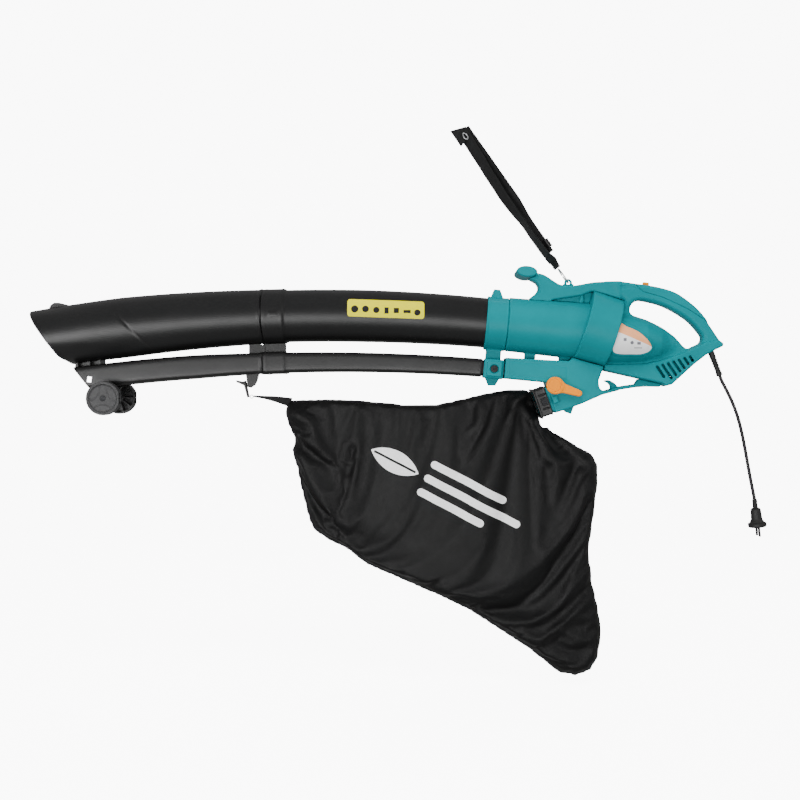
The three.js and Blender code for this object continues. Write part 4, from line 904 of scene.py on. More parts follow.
def make_collar():
    c = dict(zip("xz", place_on_arc(TUBE_ARC, -365.0)), tilt=5.2)
    m = Moulding((-376, -56, -176), (-306, 56, 26), 1.2)
    ring = m.rod(c, 0, 42, 52.6, ease=1.6)
    rim = np.minimum(m.rod(c, 0, 4, 53.4, ease=0.8), m.rod(c, 38.5, 42, 53.2, ease=0.8))
    duct = dict(zip("xz", place_on_arc(DUCT_ARC, -344.0)), tilt=5.2)
    low = m.box(dict(duct, x=duct["x"] - 6), (40, 58, 38), ease=3)
    boss = m.box(dict(duct, x=duct["x"] - 5), (30, 64, 30), ease=1.5)
    web = m.box(dict(duct, x=duct["x"] - 6, z=duct["z"] + 27), (30, 24, 34), ease=1)
    tongue = m.rod(INTAKE, -12, 9, 50.2)
    top = from_frame(c, 0, 52.6)
    tab = [
        (top[0] + 4, top[1] - 5), (top[0] + 12, top[1] + 14), (top[0] + 24, top[1] + 13),
        (top[0] + 31, top[1] - 6)
    ]
    z0 = duct["z"] - 19
    foot = [
        (duct["x"] - 24, z0 + 6), (duct["x"] + 9, z0 + 5), (duct["x"] - 2, z0 - 14),
        (duct["x"] - 16, z0 - 14)
    ]
    d = blended(np.minimum(ring, rim), web, 4)
    d = blended(d, low, 3)
    d = np.minimum(np.minimum(d, boss), np.minimum(tongue, m.plate(tab, 12, 1.5)))
    d = np.minimum(d, m.plate(foot, 12, 1.5))
    arc_z = place_on_arc(TUBE_ARC, m.x)[1]
    bore = np.maximum(np.sqrt((m.z - arc_z) ** 2 + m.y**2) - 50.1, m.x + 331)
    duct_z = place_on_arc(DUCT_ARC, m.x)[1]
    channel = rounded(np.abs(m.y) - 25.3, np.abs(m.z - duct_z) - 15.3, 5)
    channel = np.maximum(channel, m.x + 328)
    d = carved(carved(d, bore), channel)
    d = carved(d, m.rod(INTAKE, -60, 15, 47.2))
    d = carved(d, rounded(np.abs(m.y) - 22.5, np.abs(m.z - duct_z) - 12.0, 4))
    recess = np.sqrt((m.x - duct["x"] + 5) ** 2 + (m.z - duct["z"]) ** 2) - 8.6
    d = carved(d, np.maximum(recess, 28 - np.abs(m.y)), 0.6)
    m.piece("joint_collar", d, "teal_plastic", "machine", "tube_collar")
    s = Moulding((duct["x"] - 15, 27, duct["z"] - 10), (duct["x"] + 5, 33, duct["z"] + 10), 0.5)
    radius = np.sqrt((s.x - duct["x"] + 5) ** 2 + (s.z - duct["z"]) ** 2)
    head = rounded(radius - 7, np.abs(s.y - 29.7) - 1.3, 0.5)
    head = np.minimum(head, rounded(radius - 5, np.abs(s.y - 30.2) - 1.4, 0.5))
    turn = np.arctan2(s.z - duct["z"], s.x - duct["x"] + 5)
    socket = np.maximum(radius - 2.6 - 0.5 * np.cos(3 * turn), 29.6 - s.y)
    head = carved(head, socket, 0.3)
    s.piece("right_collar_screw", head, "inner_plastic", "machine", "collar_screw_right")
    s.mirrored("left_collar_screw", head, "inner_plastic", "machine", "collar_screw_left")


HANDLE_TOP = [
    (-264, 53), (-248, 48.2), (-232, 37.8), (-219, 30), (-205, 27.5), (-191, 27.4), (
        -177.5, 29.4
    ), (-152.7, 33.8),
    (-127, 35.3), (-97, 35.7), (
        -67.3, 31.8
    ), (-25.6, 25.4), (8.2, 15.7), (32, 1.4), (55.8, -18.3), (73.7, -39.1),
]
TAIL = [
    (77.4, -48), (104, -87.5), (103, -93.3), (
        84.3, -102.2
    ), (70.4, -110), (44.8, -130), (18, -154.6), (2.3, -169),
    (-10.5, -172.3),
]
KEEL_BOTTOM = [(-17.5, -166.4), (-75.7, -153.6), (-133, -140.7)]
BAFFLE = [(-60, -136), (-25, -130), (45, -109), (60, -106), (20, -147), (-14, -160), (-60, -152)]
HAND_GAP = [
    (-79, -22), (-75, -10), (-65, -3), (-52, -2.6), (-22, -9.6), (0, -18.6), (25, -33), (43, -47), (57, -63),
    (65, -75), (62, -86), (51, -92), (33, -97), (12, -76), (-11, -60), (-38, -47), (-65, -38), (-75, -33),
]
HORN_UNDER = [
    (-97, 0), (
        -155, 15.5
    ), (-177, 7), (-232, -1), (-240, -10), (-285, -10), (-277, 3.5), (-269, 9), (-263.5, 15),
    (-260.5, 21),
    (-261, 27), (-265, 33), (-272, 37), (-278, 40), (-278, 53),
]
SCREWS = [(-239, 19, 18), (-116, 17, 18), (71, -66, 18), (52, -107, 27), (-11, -158, 27), (-105, -139, 27)]
COVER_LINE = [
    (-70, 38), (-66, 27), (-53.5, 15.5), (-13.5, 4), (35, -18.5), (74.5, -44.5), (86, -47.5), (110, 40)
]
CASE = [
    (-327, -116), (-202, -123), (-195, -116.5), (-134, -133.5), (-144, -162), (-142, -175), (-135, -181),
    (
        -126, -181.5
    ), (-100, -173), (-68, -168), (-62, -158), (-44, -161.8), (-18, -167.6), (-14, -170.5), (-20, -174),
    (-47, -173.5),
    (-68, -175), (-100, -180), (-136, -189), (-177, -207), (-210, -219), (-229, -225), (-245, -172),
    (-247, -165), (-330, -157),
]
DRUM_SIDE = [(0, 0), (0, 72.8), (62, 70.8), (62, 0)]


def drum_clear(m):
    return m.turned([(-0.3, 0), (-0.3, 73.3), (62.3, 71.3), (62.3, 0)], DRUM)


def make_housing():
    m = Moulding((-284, -67, -176), (116, 1.6, 60), 1.6)
    y = -m.y
    rear = [from_frame(DRUM, 62.3, -71), from_frame(DRUM, 62.3, 69)]
    loop_side = HANDLE_TOP[8:] + TAIL + KEEL_BOTTOM[:2] + rear
    top_curve = spline(HANDLE_TOP[:10], 40).tolist()
    gap = distance_to_outline(spline(HAND_GAP, 72, closed=True), m.x, m.z)
    loop_top = spline(HANDLE_TOP[8:], 40).tolist()
    loop_flat = distance_to_outline(loop_top + loop_side[len(HANDLE_TOP[8:]):], m.x, m.z)

    def solid(inset):
        flat = np.maximum(loop_flat, -gap) + inset
        loop = rounded(flat, y - 18 + inset, 9 - inset)
        ridge = rounded(
            distance_to_outline(top_curve + HORN_UNDER, m.x, m.z) + inset, y - 18 + inset, 4 - inset
        )
        profile = [(-20, 0), (-20, 53), (0, 52), (26, 50), (60, 44), (92, 32), (118, 16), (130, 0)]
        belly = m.turned(profile, BULGE, 1.22) + inset
        keel = [
            (-131, -129), (-53, -128), (-17.5, -121), (11.2, -111), (36.9, -101.2), (68.5, -85.4),
            (96.1, -81.5)
        ]
        low = rounded(
            distance_to_outline(keel + TAIL[1:] + KEEL_BOTTOM, m.x, m.z) + inset, y - 27 + inset,
            3.5 - inset
        )
        d = blended(loop, belly, 9 if not inset else 5)
        d = blended(d, low, 3)
        return blended(d, ridge, 4)

    d = carved(solid(0), solid(2.9))
    for x, z, half in SCREWS:
        d = np.minimum(d, m.pin(x, z, 5, -half + 1, 3))
        d = carved(d, m.pin(x, z, 1.8, -half + 6, 3))
    baffle = distance_to_outline(BAFFLE, m.x, m.z)
    d = np.minimum(d, np.maximum(baffle, y - 2))
    rib = [(-240, 4), (-154, 14), (-150, -12), (-240, -12)]
    d = np.minimum(d, m.plate(rib, 9, 0.2))
    d = np.minimum(d, m.plate([(-180, -8), (-176, 10), (-171, 10), (-171, -8)], 14, 0.6))
    for i, length in enumerate((29, 36, 32, 27, 23, 18, 14)):
        at = dict(x=-29.0 + i * 10.85, z=-132.0 + i * 3.25, tilt=56.0)
        px, pz = from_frame(at, length / 2)
        slot = np.maximum(m.box(dict(at, x=px, z=pz), (length, 80, 5), ease=2.2), 10 - y)
        d = carved(d, slot, 0.5)
    d = carved(d, m.box(dict(x=-83.0, z=24.0, tilt=2.0), (29, 3, 8), y=-18, ease=0.8))
    rim = np.abs(distance_to_outline(spline(LABEL_EDGE, 60, closed=True), m.x, m.z)) - 1.6
    d = np.minimum(d, np.maximum(np.maximum(rim, m.turned(
        [
            (-20, 0), (-20, 54.6), (0, 53.6), (26, 51.6), (60, 45.6), (92, 33.6), (112, 21), (112, 0)
        ], BULGE, 1.22)), 20 - y))
    d = carved(d, m.rod(DRUM, 32, 76, 38))
    d = carved(d, drum_clear(m))
    d = carved(d, m.rod(INTAKE, -5, 178, 53.8, 57.6, ease=0.1))
    d = carved(d, m.plate(CASE, 34.3, 2))
    d = carved(d, grip_bar(m, 0.3))
    d = carved(d, m.rod(CORD_EXIT, -30, 20, 6.5))
    eye = np.sqrt((m.x - EYELET[0]) ** 2 + (m.z - EYELET[1]) ** 2)
    d = np.minimum(d, rounded(eye - 8, y - 3, 0.8))
    d = np.minimum(d, m.box(dict(x=EYELET[0], z=EYELET[1] - 6, tilt=0.0), (22, 6, 8)))
    d = carved(d, np.maximum(eye - 3.4, y - 9), 0.5)
    half = np.maximum(d, m.y + SEAM)
    cover_gap = distance_to_outline(COVER_LINE, m.x, m.z)
    body = np.maximum(half, -(cover_gap - 0.3))
    m.piece("left_housing_shell", body, "teal_plastic", "machine", "housing_left")
    for x, z, half in SCREWS:
        body = carved(body, m.pin(x, z, 3.9, -half - 4, -half + 5), 0.3)
    m.mirrored("right_housing_shell", body, "teal_plastic", "machine", "housing_right")
    cover(np.maximum)


def cover(highest):
    """The grip cover lies over both shells, so it is made on a grid of its own."""
    m = Moulding((-70, -20, -50), (90, 20, 42), 1.2)
    y = np.abs(m.y)
    loop_top = spline(HANDLE_TOP[8:], 40).tolist()
    rear = [from_frame(DRUM, 62.3, -71), from_frame(DRUM, 62.3, 69)]
    flat = distance_to_outline(loop_top + TAIL + KEEL_BOTTOM[:2] + rear, m.x, m.z)
    gap = distance_to_outline(spline(HAND_GAP, 72, closed=True), m.x, m.z)
    whole = np.maximum(flat, -gap)
    d = carved(rounded(whole, y - 18, 9), rounded(whole + 2.9, y - 15.1, 6))
    d = highest(d, distance_to_outline(COVER_LINE, m.x, m.z))
    slot = dict(x=-48.0, z=29.5, tilt=9.0)
    d = carved(d, m.box(slot, (19.5, 10.2, 16), ease=1), 0.5)
    m.piece("handle_cover", d, "teal_plastic", "machine", "grip_cover")


LABEL_EDGE = [
    (-107, -51), (-92, -54.5), (-68, -65.5), (-48.5, -83), (-41, -98), (-52.5, -109), (-77, -112.5),
    (-122, -105)
]


def grip_bar(m, grow=0.0):
    at = dict(x=-285.0, z=53.0, tilt=5.0)
    along, up = m.frame(at)
    size = np.sqrt((along / (20.5 + grow)) ** 2 + (up / (10.8 + grow)) ** 2)
    return rounded((size - 1) * 12, np.abs(m.y) - 40 - grow, 4)


def make_front_grip():
    m = Moulding((-308, -42, 39), (-262, 42, 67), 1.2)
    seam = np.abs(np.abs(m.y) - 30) - 0.5
    d = carved(grip_bar(m), np.maximum(seam, -grip_bar(m) - 0.9))
    m.piece("front_handle", d, "teal_plastic", "machine", "front_grip")


def make_intake():
    m = Moulding((-328, -60, -128), (-144, 60, 10), 1.5)
    body = m.rod(INTAKE, 0, 168, 53.5, 57, ease=0.8)
    for step, dx, dz in ((51, 21, 16), (120, 21, 14)):
        px, pz = from_frame(INTAKE, step, -59.5)
        body = blended(body, m.box(dict(INTAKE, x=px, z=pz), (dx, 22, dz), ease=1), 3)
    body = carved(body, m.rod(INTAKE, -5, 173, 50.5, 54))
    body = carved(body, m.plate(CASE, 34.3, 2))
    body = carved(body, m.turned([(8, 0), (8, 77), (62, 71), (62, 0)], DRUM))
    m.piece("intake_moulding", body, "teal_plastic", "machine", "intake_duct")


def make_drum():
    m = Moulding((-196, -75, -142), (-88, 75, 23), 1.5)
    d = m.turned(DRUM_SIDE, DRUM)
    along, up = m.frame(DRUM)
    across = np.sqrt(up**2 + m.y**2)
    lip = rounded(across - 72.6, np.abs(along - 1.8) - 1.6, 0.8)
    d = np.minimum(blended(d, lip, 1), 1e3)
    d = carved(d, m.turned([(3, 0), (3, 70), (59, 68), (59, 0)], DRUM))
    d = carved(d, m.rod(DRUM, 58, 64, 40))
    d = carved(d, m.rod(INTAKE, 100, 188, 57.3, ease=0.1))
    px, pz = from_frame(DRUM, 29, -73)
    d = carved(d, m.box(dict(DRUM, x=px, z=pz), (44, 50, 30)))
    m.piece("fan_housing", d, "teal_plastic", "machine", "fan_drum")


CHAMBER = [
    (-331, -119), (-203, -126.5), (-192, -121), (-149, -133.5), (-154, -162), (-152, -178), (-160, -193),
    (-178, -203.5), (-211, -215.5), (-226, -220), (-243, -174.5), (-246, -162.5), (-331, -154),
]


def make_case():
    m = Moulding((-333, -46, -234), (-8, 1.4, -112), 1.3)
    y = -m.y
    case_line = CASE[:5] + spline(CASE[4:10], 30).tolist()[1:] + CASE[10:]
    d = m.plate(case_line, 34, 3)
    at = dict(OUTLET)
    px, pz = from_frame(at, -8)
    d = np.minimum(d, m.box(dict(at, x=px, z=pz), (32, 62, 50), ease=2.5))
    tab = m.plate([(-212, -216), (-206, -224), (-195, -228), (-188, -209)], 10, 1.5)
    claw = m.plate(
        spline([(-98, -179), (-105, -169), (-111, -164), (-120, -160), (-129, -161.3), (-128, -163),
                           (-121, -166.5), (-117, -173), (-118, -183)], 40).tolist(), 5, 0.8)
    clip = np.minimum(m.box(dict(at, x=-228.0, z=-198.0), (6, 7, 14), y=-37),
                      m.box(dict(at, x=-231.0, z=-199.0), (8, 3, 14), y=-39))
    d = np.minimum(np.minimum(d, blended(tab, claw, 0.5)), clip)
    d = np.minimum(d, m.plate([(-135, -190), (-100, -181), (-100, -172), (-126, -180)], 6, 0.8))
    inner = np.minimum(m.plate(CHAMBER, 31, 1), m.box(dict(at, x=px, z=pz), (60, 56, 44), ease=2))
    slim = np.maximum(
        distance_to_outline([(-128, -100), (0, -100), (0, -240), (-112, -240)], m.x, m.z), 9 - y
    )
    throat = from_frame(DRUM, 29, -73)
    d = carved(carved(d, inner), slim, 1.5)
    d = carved(d, m.box(dict(DRUM, x=throat[0], z=throat[1]), (40, 46, 34)))
    d = carved(d, drum_clear(m))
    d = carved(d, m.pin(*SELECTOR, 4.4, -60, 5))
    d = carved(d, np.maximum(np.abs(distance_to_outline(
        [(-318, -123), (-206, -135), (-206, -160), (-318, -151)], m.x, m.z)) - 0.7, 33.2 - y), 0.3)
    half = np.maximum(d, m.y + SEAM)
    m.piece("left_case_shell", half, "teal_plastic", "machine", "diverter_case_left")
    m.mirrored("right_case_shell", half, "teal_plastic", "machine", "diverter_case_right")


def make_lever():
    m = Moulding((-251, -50, -200), (-172, -33.5, -150), 0.8)
    at = dict(x=SELECTOR[0], z=SELECTOR[1], tilt=18.0)
    along, up = m.frame(at)
    hub = m.pin(*SELECTOR, 17, -47, -35, 2.2)
    width = np.interp(along, [8, 20, 49], [12.5, 9, 6.3])
    arm = rounded(np.where(along > 49, np.sqrt((along - 49) ** 2 + up**2) - 6.3, np.abs(up) - width),
                  np.abs(m.y + 42) - 4, 2.4)
    arm = np.maximum(arm, 4 - along)
    d = blended(hub, arm, 4)
    step = np.sqrt(along**2 + up**2)
    d = carved(d, np.maximum(np.abs(step - 12.2) - 0.7, m.y + 46.2), 0.5)
    d = carved(d, m.pin(*SELECTOR, 4.3, -41, -33))
    m.piece("selector_knob", d, "orange_plastic", "selector", "mode_lever")


def make_slider():
    m = Moulding((-56, -6, 16), (-34, 6, 40), 0.6)
    at = dict(x=-45.0, z=31.0, tilt=9.0)
    along, _ = m.frame(at)
    d = m.box(at, (12, 9, 8), ease=1.2)
    d = carved(d, np.maximum(np.abs(np.mod(along + 1.5, 3) - 1.5) - 0.5, -(m.frame(at)[1] - 3.8)), 0.3)
    d = np.minimum(d, m.box(dict(at, z=23.5), (6, 5, 10)))
    m.piece("switch_button", d, "orange_plastic", "slider", "power_slider")


# ---------------------------------------------------------------- bag

def make_bag_collar():
    m = Moulding((-282, -42, -242), (-226, 42, -168), 1.0)

    def centre(away):
        px, pz = from_frame(OUTLET, -away)
        return dict(OUTLET, x=px, z=pz)

    ring = m.box(centre(15), (27, 69, 57), ease=4)
    lip = m.box(centre(26), (3, 74, 62), ease=1.4)
    ledge = m.box(centre(4.5), (3, 71, 59), ease=1.2)
    d = np.minimum(np.minimum(ring, lip), ledge)
    for side in (-1, 1):
        for up in (-14, 14):
            px, pz = from_frame(centre(13), 0, up)
            d = np.minimum(d, m.box(dict(OUTLET, x=px, z=pz), (15, 3, 2.4), y=side * 35.4, ease=0.8))
    d = carved(d, m.box(centre(15), (60, 63, 51), ease=3))
    d = carved(d, m.plate(CASE, 34.3, 2))
    m.piece("bag_mouth", d, "black_plastic", "bag", "bag_collar")
    s = Moulding((-264, 36, -216), (-236, 44, -188), 0.6)
    along, up = s.frame(centre(10.5))
    pad = rounded(rounded(np.abs(along) - 7.5, np.abs(up) - 7.5, 1.5), np.abs(s.y - 39.5) - 1.5, 0.6)
    ribs = np.maximum(rounded(np.abs(np.mod(along + 1.5, 3) - 1.5) - 0.75, np.abs(s.y - 41) - 1.4, 0.4),
                      np.maximum(np.abs(along) - 6.6, np.abs(up) - 6.6))
    pad = np.minimum(pad, ribs)
    s.piece("right_bag_latch", pad, "inner_plastic", "right_latch", "bag_latch_right")
    s.mirrored("left_bag_latch", pad, "inner_plastic", "left_latch", "bag_latch_left")


BAG_LINE = [
    (-760, -201), (-677, -198), (-597, -202), (-528, -209), (-458, -208), (-403, -196), (-362, -186),
    (-316, -179), (
        -283, -178
    ), (-271, -190), (-264, -210), (-257, -232), (-256, -238), (-232, -262), (-180, -293), (-153, -307),
    (
        -142, -326
    ), (-141, -364), (-150, -438), (-159, -500), (-152, -563), (-139, -620), (-134, -662), (-140, -712),
    (
        -156, -739
    ), (-185, -750), (-219, -744), (-279, -696), (-398, -619), (-463, -588), (-528, -560), (-602, -528),
    (
        -646, -494
    ), (-677, -480), (-708, -459), (-718, -436), (-727, -399), (-742, -339), (-751, -296), (-745, -274),
    (-757, -254), (-765, -225),
]
# Folds that the cloth has taken: both ends, width and depth.
BAG_FOLDS = [
    (-750, -285, -640, -330, 11, 9), (-745, -250, -600, -262, 12, 7), (-742, -330, -690, -420, 12, 8),
    (-628, -290, -660, -470, 9, 6), (-690, -230, -520, -232, 14, 6), (-610, -470, -560, -380, 13, 5),
    (-285, -205, -210, -300, 10, 13), (-300, -215, -250, -340, 11, 10), (-330, -205, -420, -330, 14, 8),
    (-262, -250, -170, -330, 9, 8), (-400, -215, -520, -300, 16, 6), (-240, -330, -250, -470, 12, 6),
    (-190, -330, -230, -420, 10, 5), (-200, -470, -300, -600, 15, 5), (-150, -560, -260, -640, 13, 6),
    (-180, -700, -330, -600, 16, 5), (-480, -560, -380, -480, 14, 5), (-165, -400, -215, -560, 12, 5),
]


def bag_side(m, edge, thickness, shift):
    """The bag's flat shape thickened to a pillow, with its folds pressed in."""
    flat = distance_to_outline(BAG_LINE, m.x, m.z)
    inside = np.clip(-flat / edge, 0, 1)
    half = thickness * np.sqrt(1 - (1 - inside) ** 2)
    neck = np.clip((m.x + 420) / 150, 0, 1) * np.clip((m.z + 330) / 90, 0, 1)
    half = half * (1 - 0.12 * neck)
    for x0, z0, x1, z1, width, depth in BAG_FOLDS:
        ex, ez = x1 - x0, z1 - z0
        t = np.clip(((m.x - x0) * ex + (m.z - z0) * ez) / (ex * ex + ez * ez), 0, 1)
        off = np.sqrt((m.x - x0 - ex * t) ** 2 + (m.z - z0 - ez * t) ** 2)
        fade = 1 - 0.6 * t
        half = half - depth * fade * (
            np.exp(-((off / width) ** 2)) - 0.6 * np.exp(-(((off - 1.6 * width) / width) ** 2))
        )
    return np.maximum(np.abs(m.y - shift) - np.maximum(half, 1.5), flat)


def make_bag():
    step = 6.0
    m = Moulding((-774, -54, -760), (-124, 54, -176), step)
    d = bag_side(m, 58, 33, 0)
    keep_off = m.box(
        dict(OUTLET, x=from_frame(OUTLET, 5.5)[0], z=from_frame(OUTLET, 5.5)[1]), (70, 140, 100), ease=0.1
    )
    d = carved(d, keep_off)
    verts, faces = m.mesh(d)
    bag = make_piece("collecting_bag", verts, faces, "bag_fabric", "bag", "bag_fabric", crisp=80)
    crumple(bag)
    smoother = bag.modifiers.new("smooth", "SUBSURF")
    smoother.levels = smoother.render_levels = 1
    settle(bag)
    finish_piece(bag, "bag_fabric", 80)


def crumple(bag):
    """Lets the cloth hang between its neck, its tab and its seams, cut a little large so that it creases."""
    rest = np.array([v.co[:] for v in bag.data.vertices])
    edge = distance_to_outline(np.array(BAG_LINE) * MM, rest[:, 0], rest[:, 2])
    neck = np.hypot(rest[:, 0] + 0.262, rest[:, 2] + 0.212) < 0.045
    tab = np.hypot(rest[:, 0] + 0.76, rest[:, 2] + 0.21) < 0.03
    weight = np.clip(1 + edge / 0.016, 0, 1) * 0.9
    weight[neck | tab] = 1
    held = bag.vertex_groups.new(name="held")
    for i, w in enumerate(weight):
        if w > 0.01:
            held.add([i], float(w), "REPLACE")
    cloth = bag.modifiers.new("cloth", "CLOTH")
    settings = cloth.settings
    settings.vertex_group_mass = "held"
    settings.pin_stiffness = 1.2
    settings.quality = 6
    settings.mass = 0.12
    settings.tension_stiffness = settings.compression_stiffness = 12
    settings.shear_stiffness = 6
    settings.bending_stiffness = 0.05
    settings.shrink_min = -0.04
    settings.use_pressure = True
    settings.uniform_pressure_force = 0.6
    settings.effector_weights.gravity = 0.35
    cloth.collision_settings.use_collision = False
    scene = bpy.context.scene
    scene.frame_start, scene.frame_end = 1, 26
    cloth.point_cache.frame_start, cloth.point_cache.frame_end = 1, 26
    for number in range(1, 27):
        scene.frame_set(number)
    settle(bag)
    moved = np.array([v.co[:] for v in bag.data.vertices])
    shift = moved - rest
    size = np.linalg.norm(shift, axis=1)[:, None]
    shift *= np.minimum(1, 0.020 / np.maximum(size, 1e-9))
    final = rest + shift
    low, high = (np.array(c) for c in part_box("bag_fabric"))
    final = np.clip(final, low - 0.004, high + (0.004, 0.004, 0.012))
    bag.data.vertices.foreach_set("co", final.ravel())
    bag.vertex_groups.clear()
    scene.frame_set(1)


def make_bag_tab():
    line = [(-827.5, -192.3), (-805, -195), (-783, -198.5), (-754, -205)]
    half_width = [1.5, 3.4, 6.0, 9.5]
    centre = spline(line, 24)
    width = np.interp(np.linspace(0, 3, 24), range(4), half_width)
    slope = np.gradient(centre, axis=0)
    slope /= np.linalg.norm(slope, axis=1)[:, None]
    verts, faces = [], []
    m = 12
    for (x, z), (tx, tz), w in zip(centre, slope, width):
        for a in np.linspace(0, 2 * math.pi, m, endpoint=False):
            up = np.sign(math.sin(a)) * abs(math.sin(a)) ** 0.5 * w
            y = np.sign(math.cos(a)) * abs(math.cos(a)) ** 0.5 * 7.5
            verts.append((x - tz * up, y, z + tx * up))
    n = len(centre)
    faces = [[i * m + j, (i + 1) * m + j, (i + 1) * m + (j + 1) % m, i * m + (j + 1) % m]
             for i in range(n - 1) for j in range(m)]
    faces += [list(range(m)), list(range(n * m - 1, (n - 1) * m - 1, -1))]
    make_piece("bag_hanger", verts, faces, "webbing", "bag", "bag_tab")


def wire_loop(name, points, radius, slot, body, replaced, closed, section=12):
    """A round wire along points in space."""
    line = spline(points, 12 * len(points), closed)
    if closed:
        slope = np.roll(line, -1, axis=0) - np.roll(line, 1, axis=0)
    else:
        slope = np.gradient(line, axis=0)
    slope /= np.linalg.norm(slope, axis=1)[:, None]
    normal = np.cross(slope[0], (0.3, 0.2, 0.9))
    verts = []
    for p, t in zip(line, slope):
        normal = normal - t * np.dot(normal, t)
        normal /= np.linalg.norm(normal)
        side = np.cross(t, normal)
        verts += [p + radius * (math.cos(a) * normal + math.sin(a) * side)
                  for a in np.linspace(0, 2 * math.pi, section, endpoint=False)]
    n = len(line)
    rows = n if closed else n - 1
    faces = [[i * section + j, i * section + (j + 1) % section,
              (i + 1) % n * section + (j + 1) % section, (i + 1) % n * section + j]
             for i in range(rows) for j in range(section)]
    if not closed:
        faces += [list(range(section - 1, -1, -1)), list(range((n - 1) * section, n * section))]
    return make_piece(name, verts, faces, slot, body, replaced)


def make_hook_and_ring():
    m = Moulding((-866, -9, -198), (-830, 9, -156), 0.6)
    at = dict(x=-838.0, z=-166.0, tilt=-19.4)
    px, pz = from_frame(at, -3)
    finger = m.box(dict(at, x=px, z=pz), (16, 5, 3.4), ease=1)
    stem = m.plate([(-849, -163), (-844, -161), (-837.2, -194), (-840.6, -195)], 6, 1)
    thumb = m.plate([(-863, -160.5), (-846, -164), (-844.5, -172), (-862, -164.5)], 5, 0.8)
    d = blended(blended(stem, finger, 1.5), thumb, 1.5)
    m.piece("bag_front_hook", d, "black_plastic", "bag", "bag_hook")
    around = [(-832.4 + 3.2 * math.cos(a), 0.0, -193.2 + 3.2 * math.sin(a))
              for a in np.linspace(0, 2 * math.pi, 10, endpoint=False)]
    wire_loop("bag_front_ring", around, 0.8, "steel", "bag", "bag_ring", closed=True)


# ---------------------------------------------------------------- strap

STRAP = dict(x=EYELET[0], z=EYELET[1], tilt=-125.0)


def on_strap(along, side=0.0):
    return from_frame(STRAP, along, side)


LONG_STRAND = [
    (36, 0.5, 72), (46, 0.5, 66), (56, 0.5, 58), (72, 3, 66), (100, 4.2, 69), (142, 5, 72), (170, 6.2, 64),
    (200, 7.2, 55), (240, 5.6, 51), (280, 4, 48), (320, 2, 43), (352, 0, 38), (366, -2, 30),
]
SHORT_STRAND = [
    (70, -7, 70), (90, -7, 70), (120, -7, 70), (150, -7, 70), (175, -8, 61), (200, -8.5, 52), (240, -8, 48),
    (280, -7.5, 45), (320, -6.6, 40), (352, -6, 35), (366, -5, 30),
]


def ribbon(stations, rows, width=25.0, thick=1.8, ripple=0.0):
    """Webbing through stations of (distance up the strap, sideways shift, turn about its own line)."""
    line = spline(stations, rows)
    angles = np.linspace(0, 2 * math.pi, 26, endpoint=False)
    verts = []
    for i, (distance, side, degrees) in enumerate(line):
        turn = math.radians(degrees)
        lean = ripple * (math.sin(distance * 0.045) + 0.5 * math.sin(distance * 0.13 + 1))
        for a in angles:
            w = width / 2 * np.sign(math.cos(a)) * abs(math.cos(a)) ** 0.35
            h = thick / 2 * np.sign(math.sin(a)) * abs(math.sin(a)) ** 0.6
            h *= 1 + 0.3 * (abs(w) > 0.42 * width) - 0.25 * (0.3 * width < abs(w) < 0.36 * width)
            cup = h + lean + 0.5 * (w / width) ** 2
            x, z = on_strap(distance, side + w * math.cos(turn) - cup * math.sin(turn))
            verts.append((x, w * math.sin(turn) + cup * math.cos(turn), z))
    n, m = len(line), len(angles)
    faces = [[i * m + j, (i + 1) * m + j, (i + 1) * m + (j + 1) % m, i * m + (j + 1) % m]
             for i in range(n - 1) for j in range(m)]
    faces += [list(range(m)), list(range(n * m - 1, (n - 1) * m - 1, -1))]
    return verts, faces


def merged(*parts):
    verts, faces = [], []
    for v, f in parts:
        faces += [[k + len(verts) for k in face] for face in f]
        verts += list(v)
    return verts, faces


def make_strap():
    """A long strand that carries the hook, and a short one that comes back from the fold to the slide."""
    strands = merged(ribbon(LONG_STRAND, 130, ripple=0.5), ribbon(SHORT_STRAND, 116, ripple=0.3))
    make_piece("shoulder_strap", *strands, "webbing", "hook", "strap_webbing")
    fold = ribbon([(358, -3.5, 30), (364, -3.5, 30), (370, -3.5, 30)], 8, 28.5, 8.5)
    loop = ribbon([(36.2, 0.5, 72), (40, 0.5, 70), (44, 0.5, 68)], 8, 22, 5)
    hem = ribbon([(52, 0.4, 60), (60, 1.4, 61), (66, 2.4, 63)], 10, 25.4, 3.6)
    make_piece("strap_fold", *merged(fold, loop, hem), "webbing", "hook")
    m = Moulding((-440, -8, 300), (-392, 2, 352), 0.8)
    flap = rounded(distance_to_outline([(-436, 337), (-404, 346), (-398, 328), (-414, 305)], m.x, m.z),
                   np.abs(m.y + 3) - 0.9, 0.5)
    m.piece("strap_flap", flap, "webbing", "hook")
    x, z = -406.0, 326.0
    loop_points = [(x - 4, -6, z + 6), (x + 4, -6, z + 2), (x + 5, -6, z - 6), (x - 2, -6, z - 3)]
    wire_loop("strap_keeper", loop_points, 1.0, "steel", "hook", (), closed=True)


def make_strap_slide():
    outer = ribbon([(79, -7, 70), (88, -7, 70), (97, -7, 70)], 12, 31, 7)
    bars = [
        ribbon([(at, -7, 70), (at + 1.5, -7, 70), (at + 3, -7, 70)], 4, 31.6, 7.8) for at in (79, 86.5, 94)
    ]
    window = ribbon([(76, -7, 70), (88, -7, 70), (100, -7, 70)], 4, 26.4, 3.0)
    body = scratch("slide", *outer)
    combine(body, "UNION", [scratch("bar", *bar) for bar in bars])
    combine(body, "DIFFERENCE", [scratch("window", *window)])
    verts = [tuple(v.co / MM) for v in body.data.vertices]
    faces = [list(f.vertices) for f in body.data.polygons]
    bpy.data.objects.remove(body)
    make_piece("strap_buckle", verts, faces, "black_plastic", "length_slide", "strap_slide")


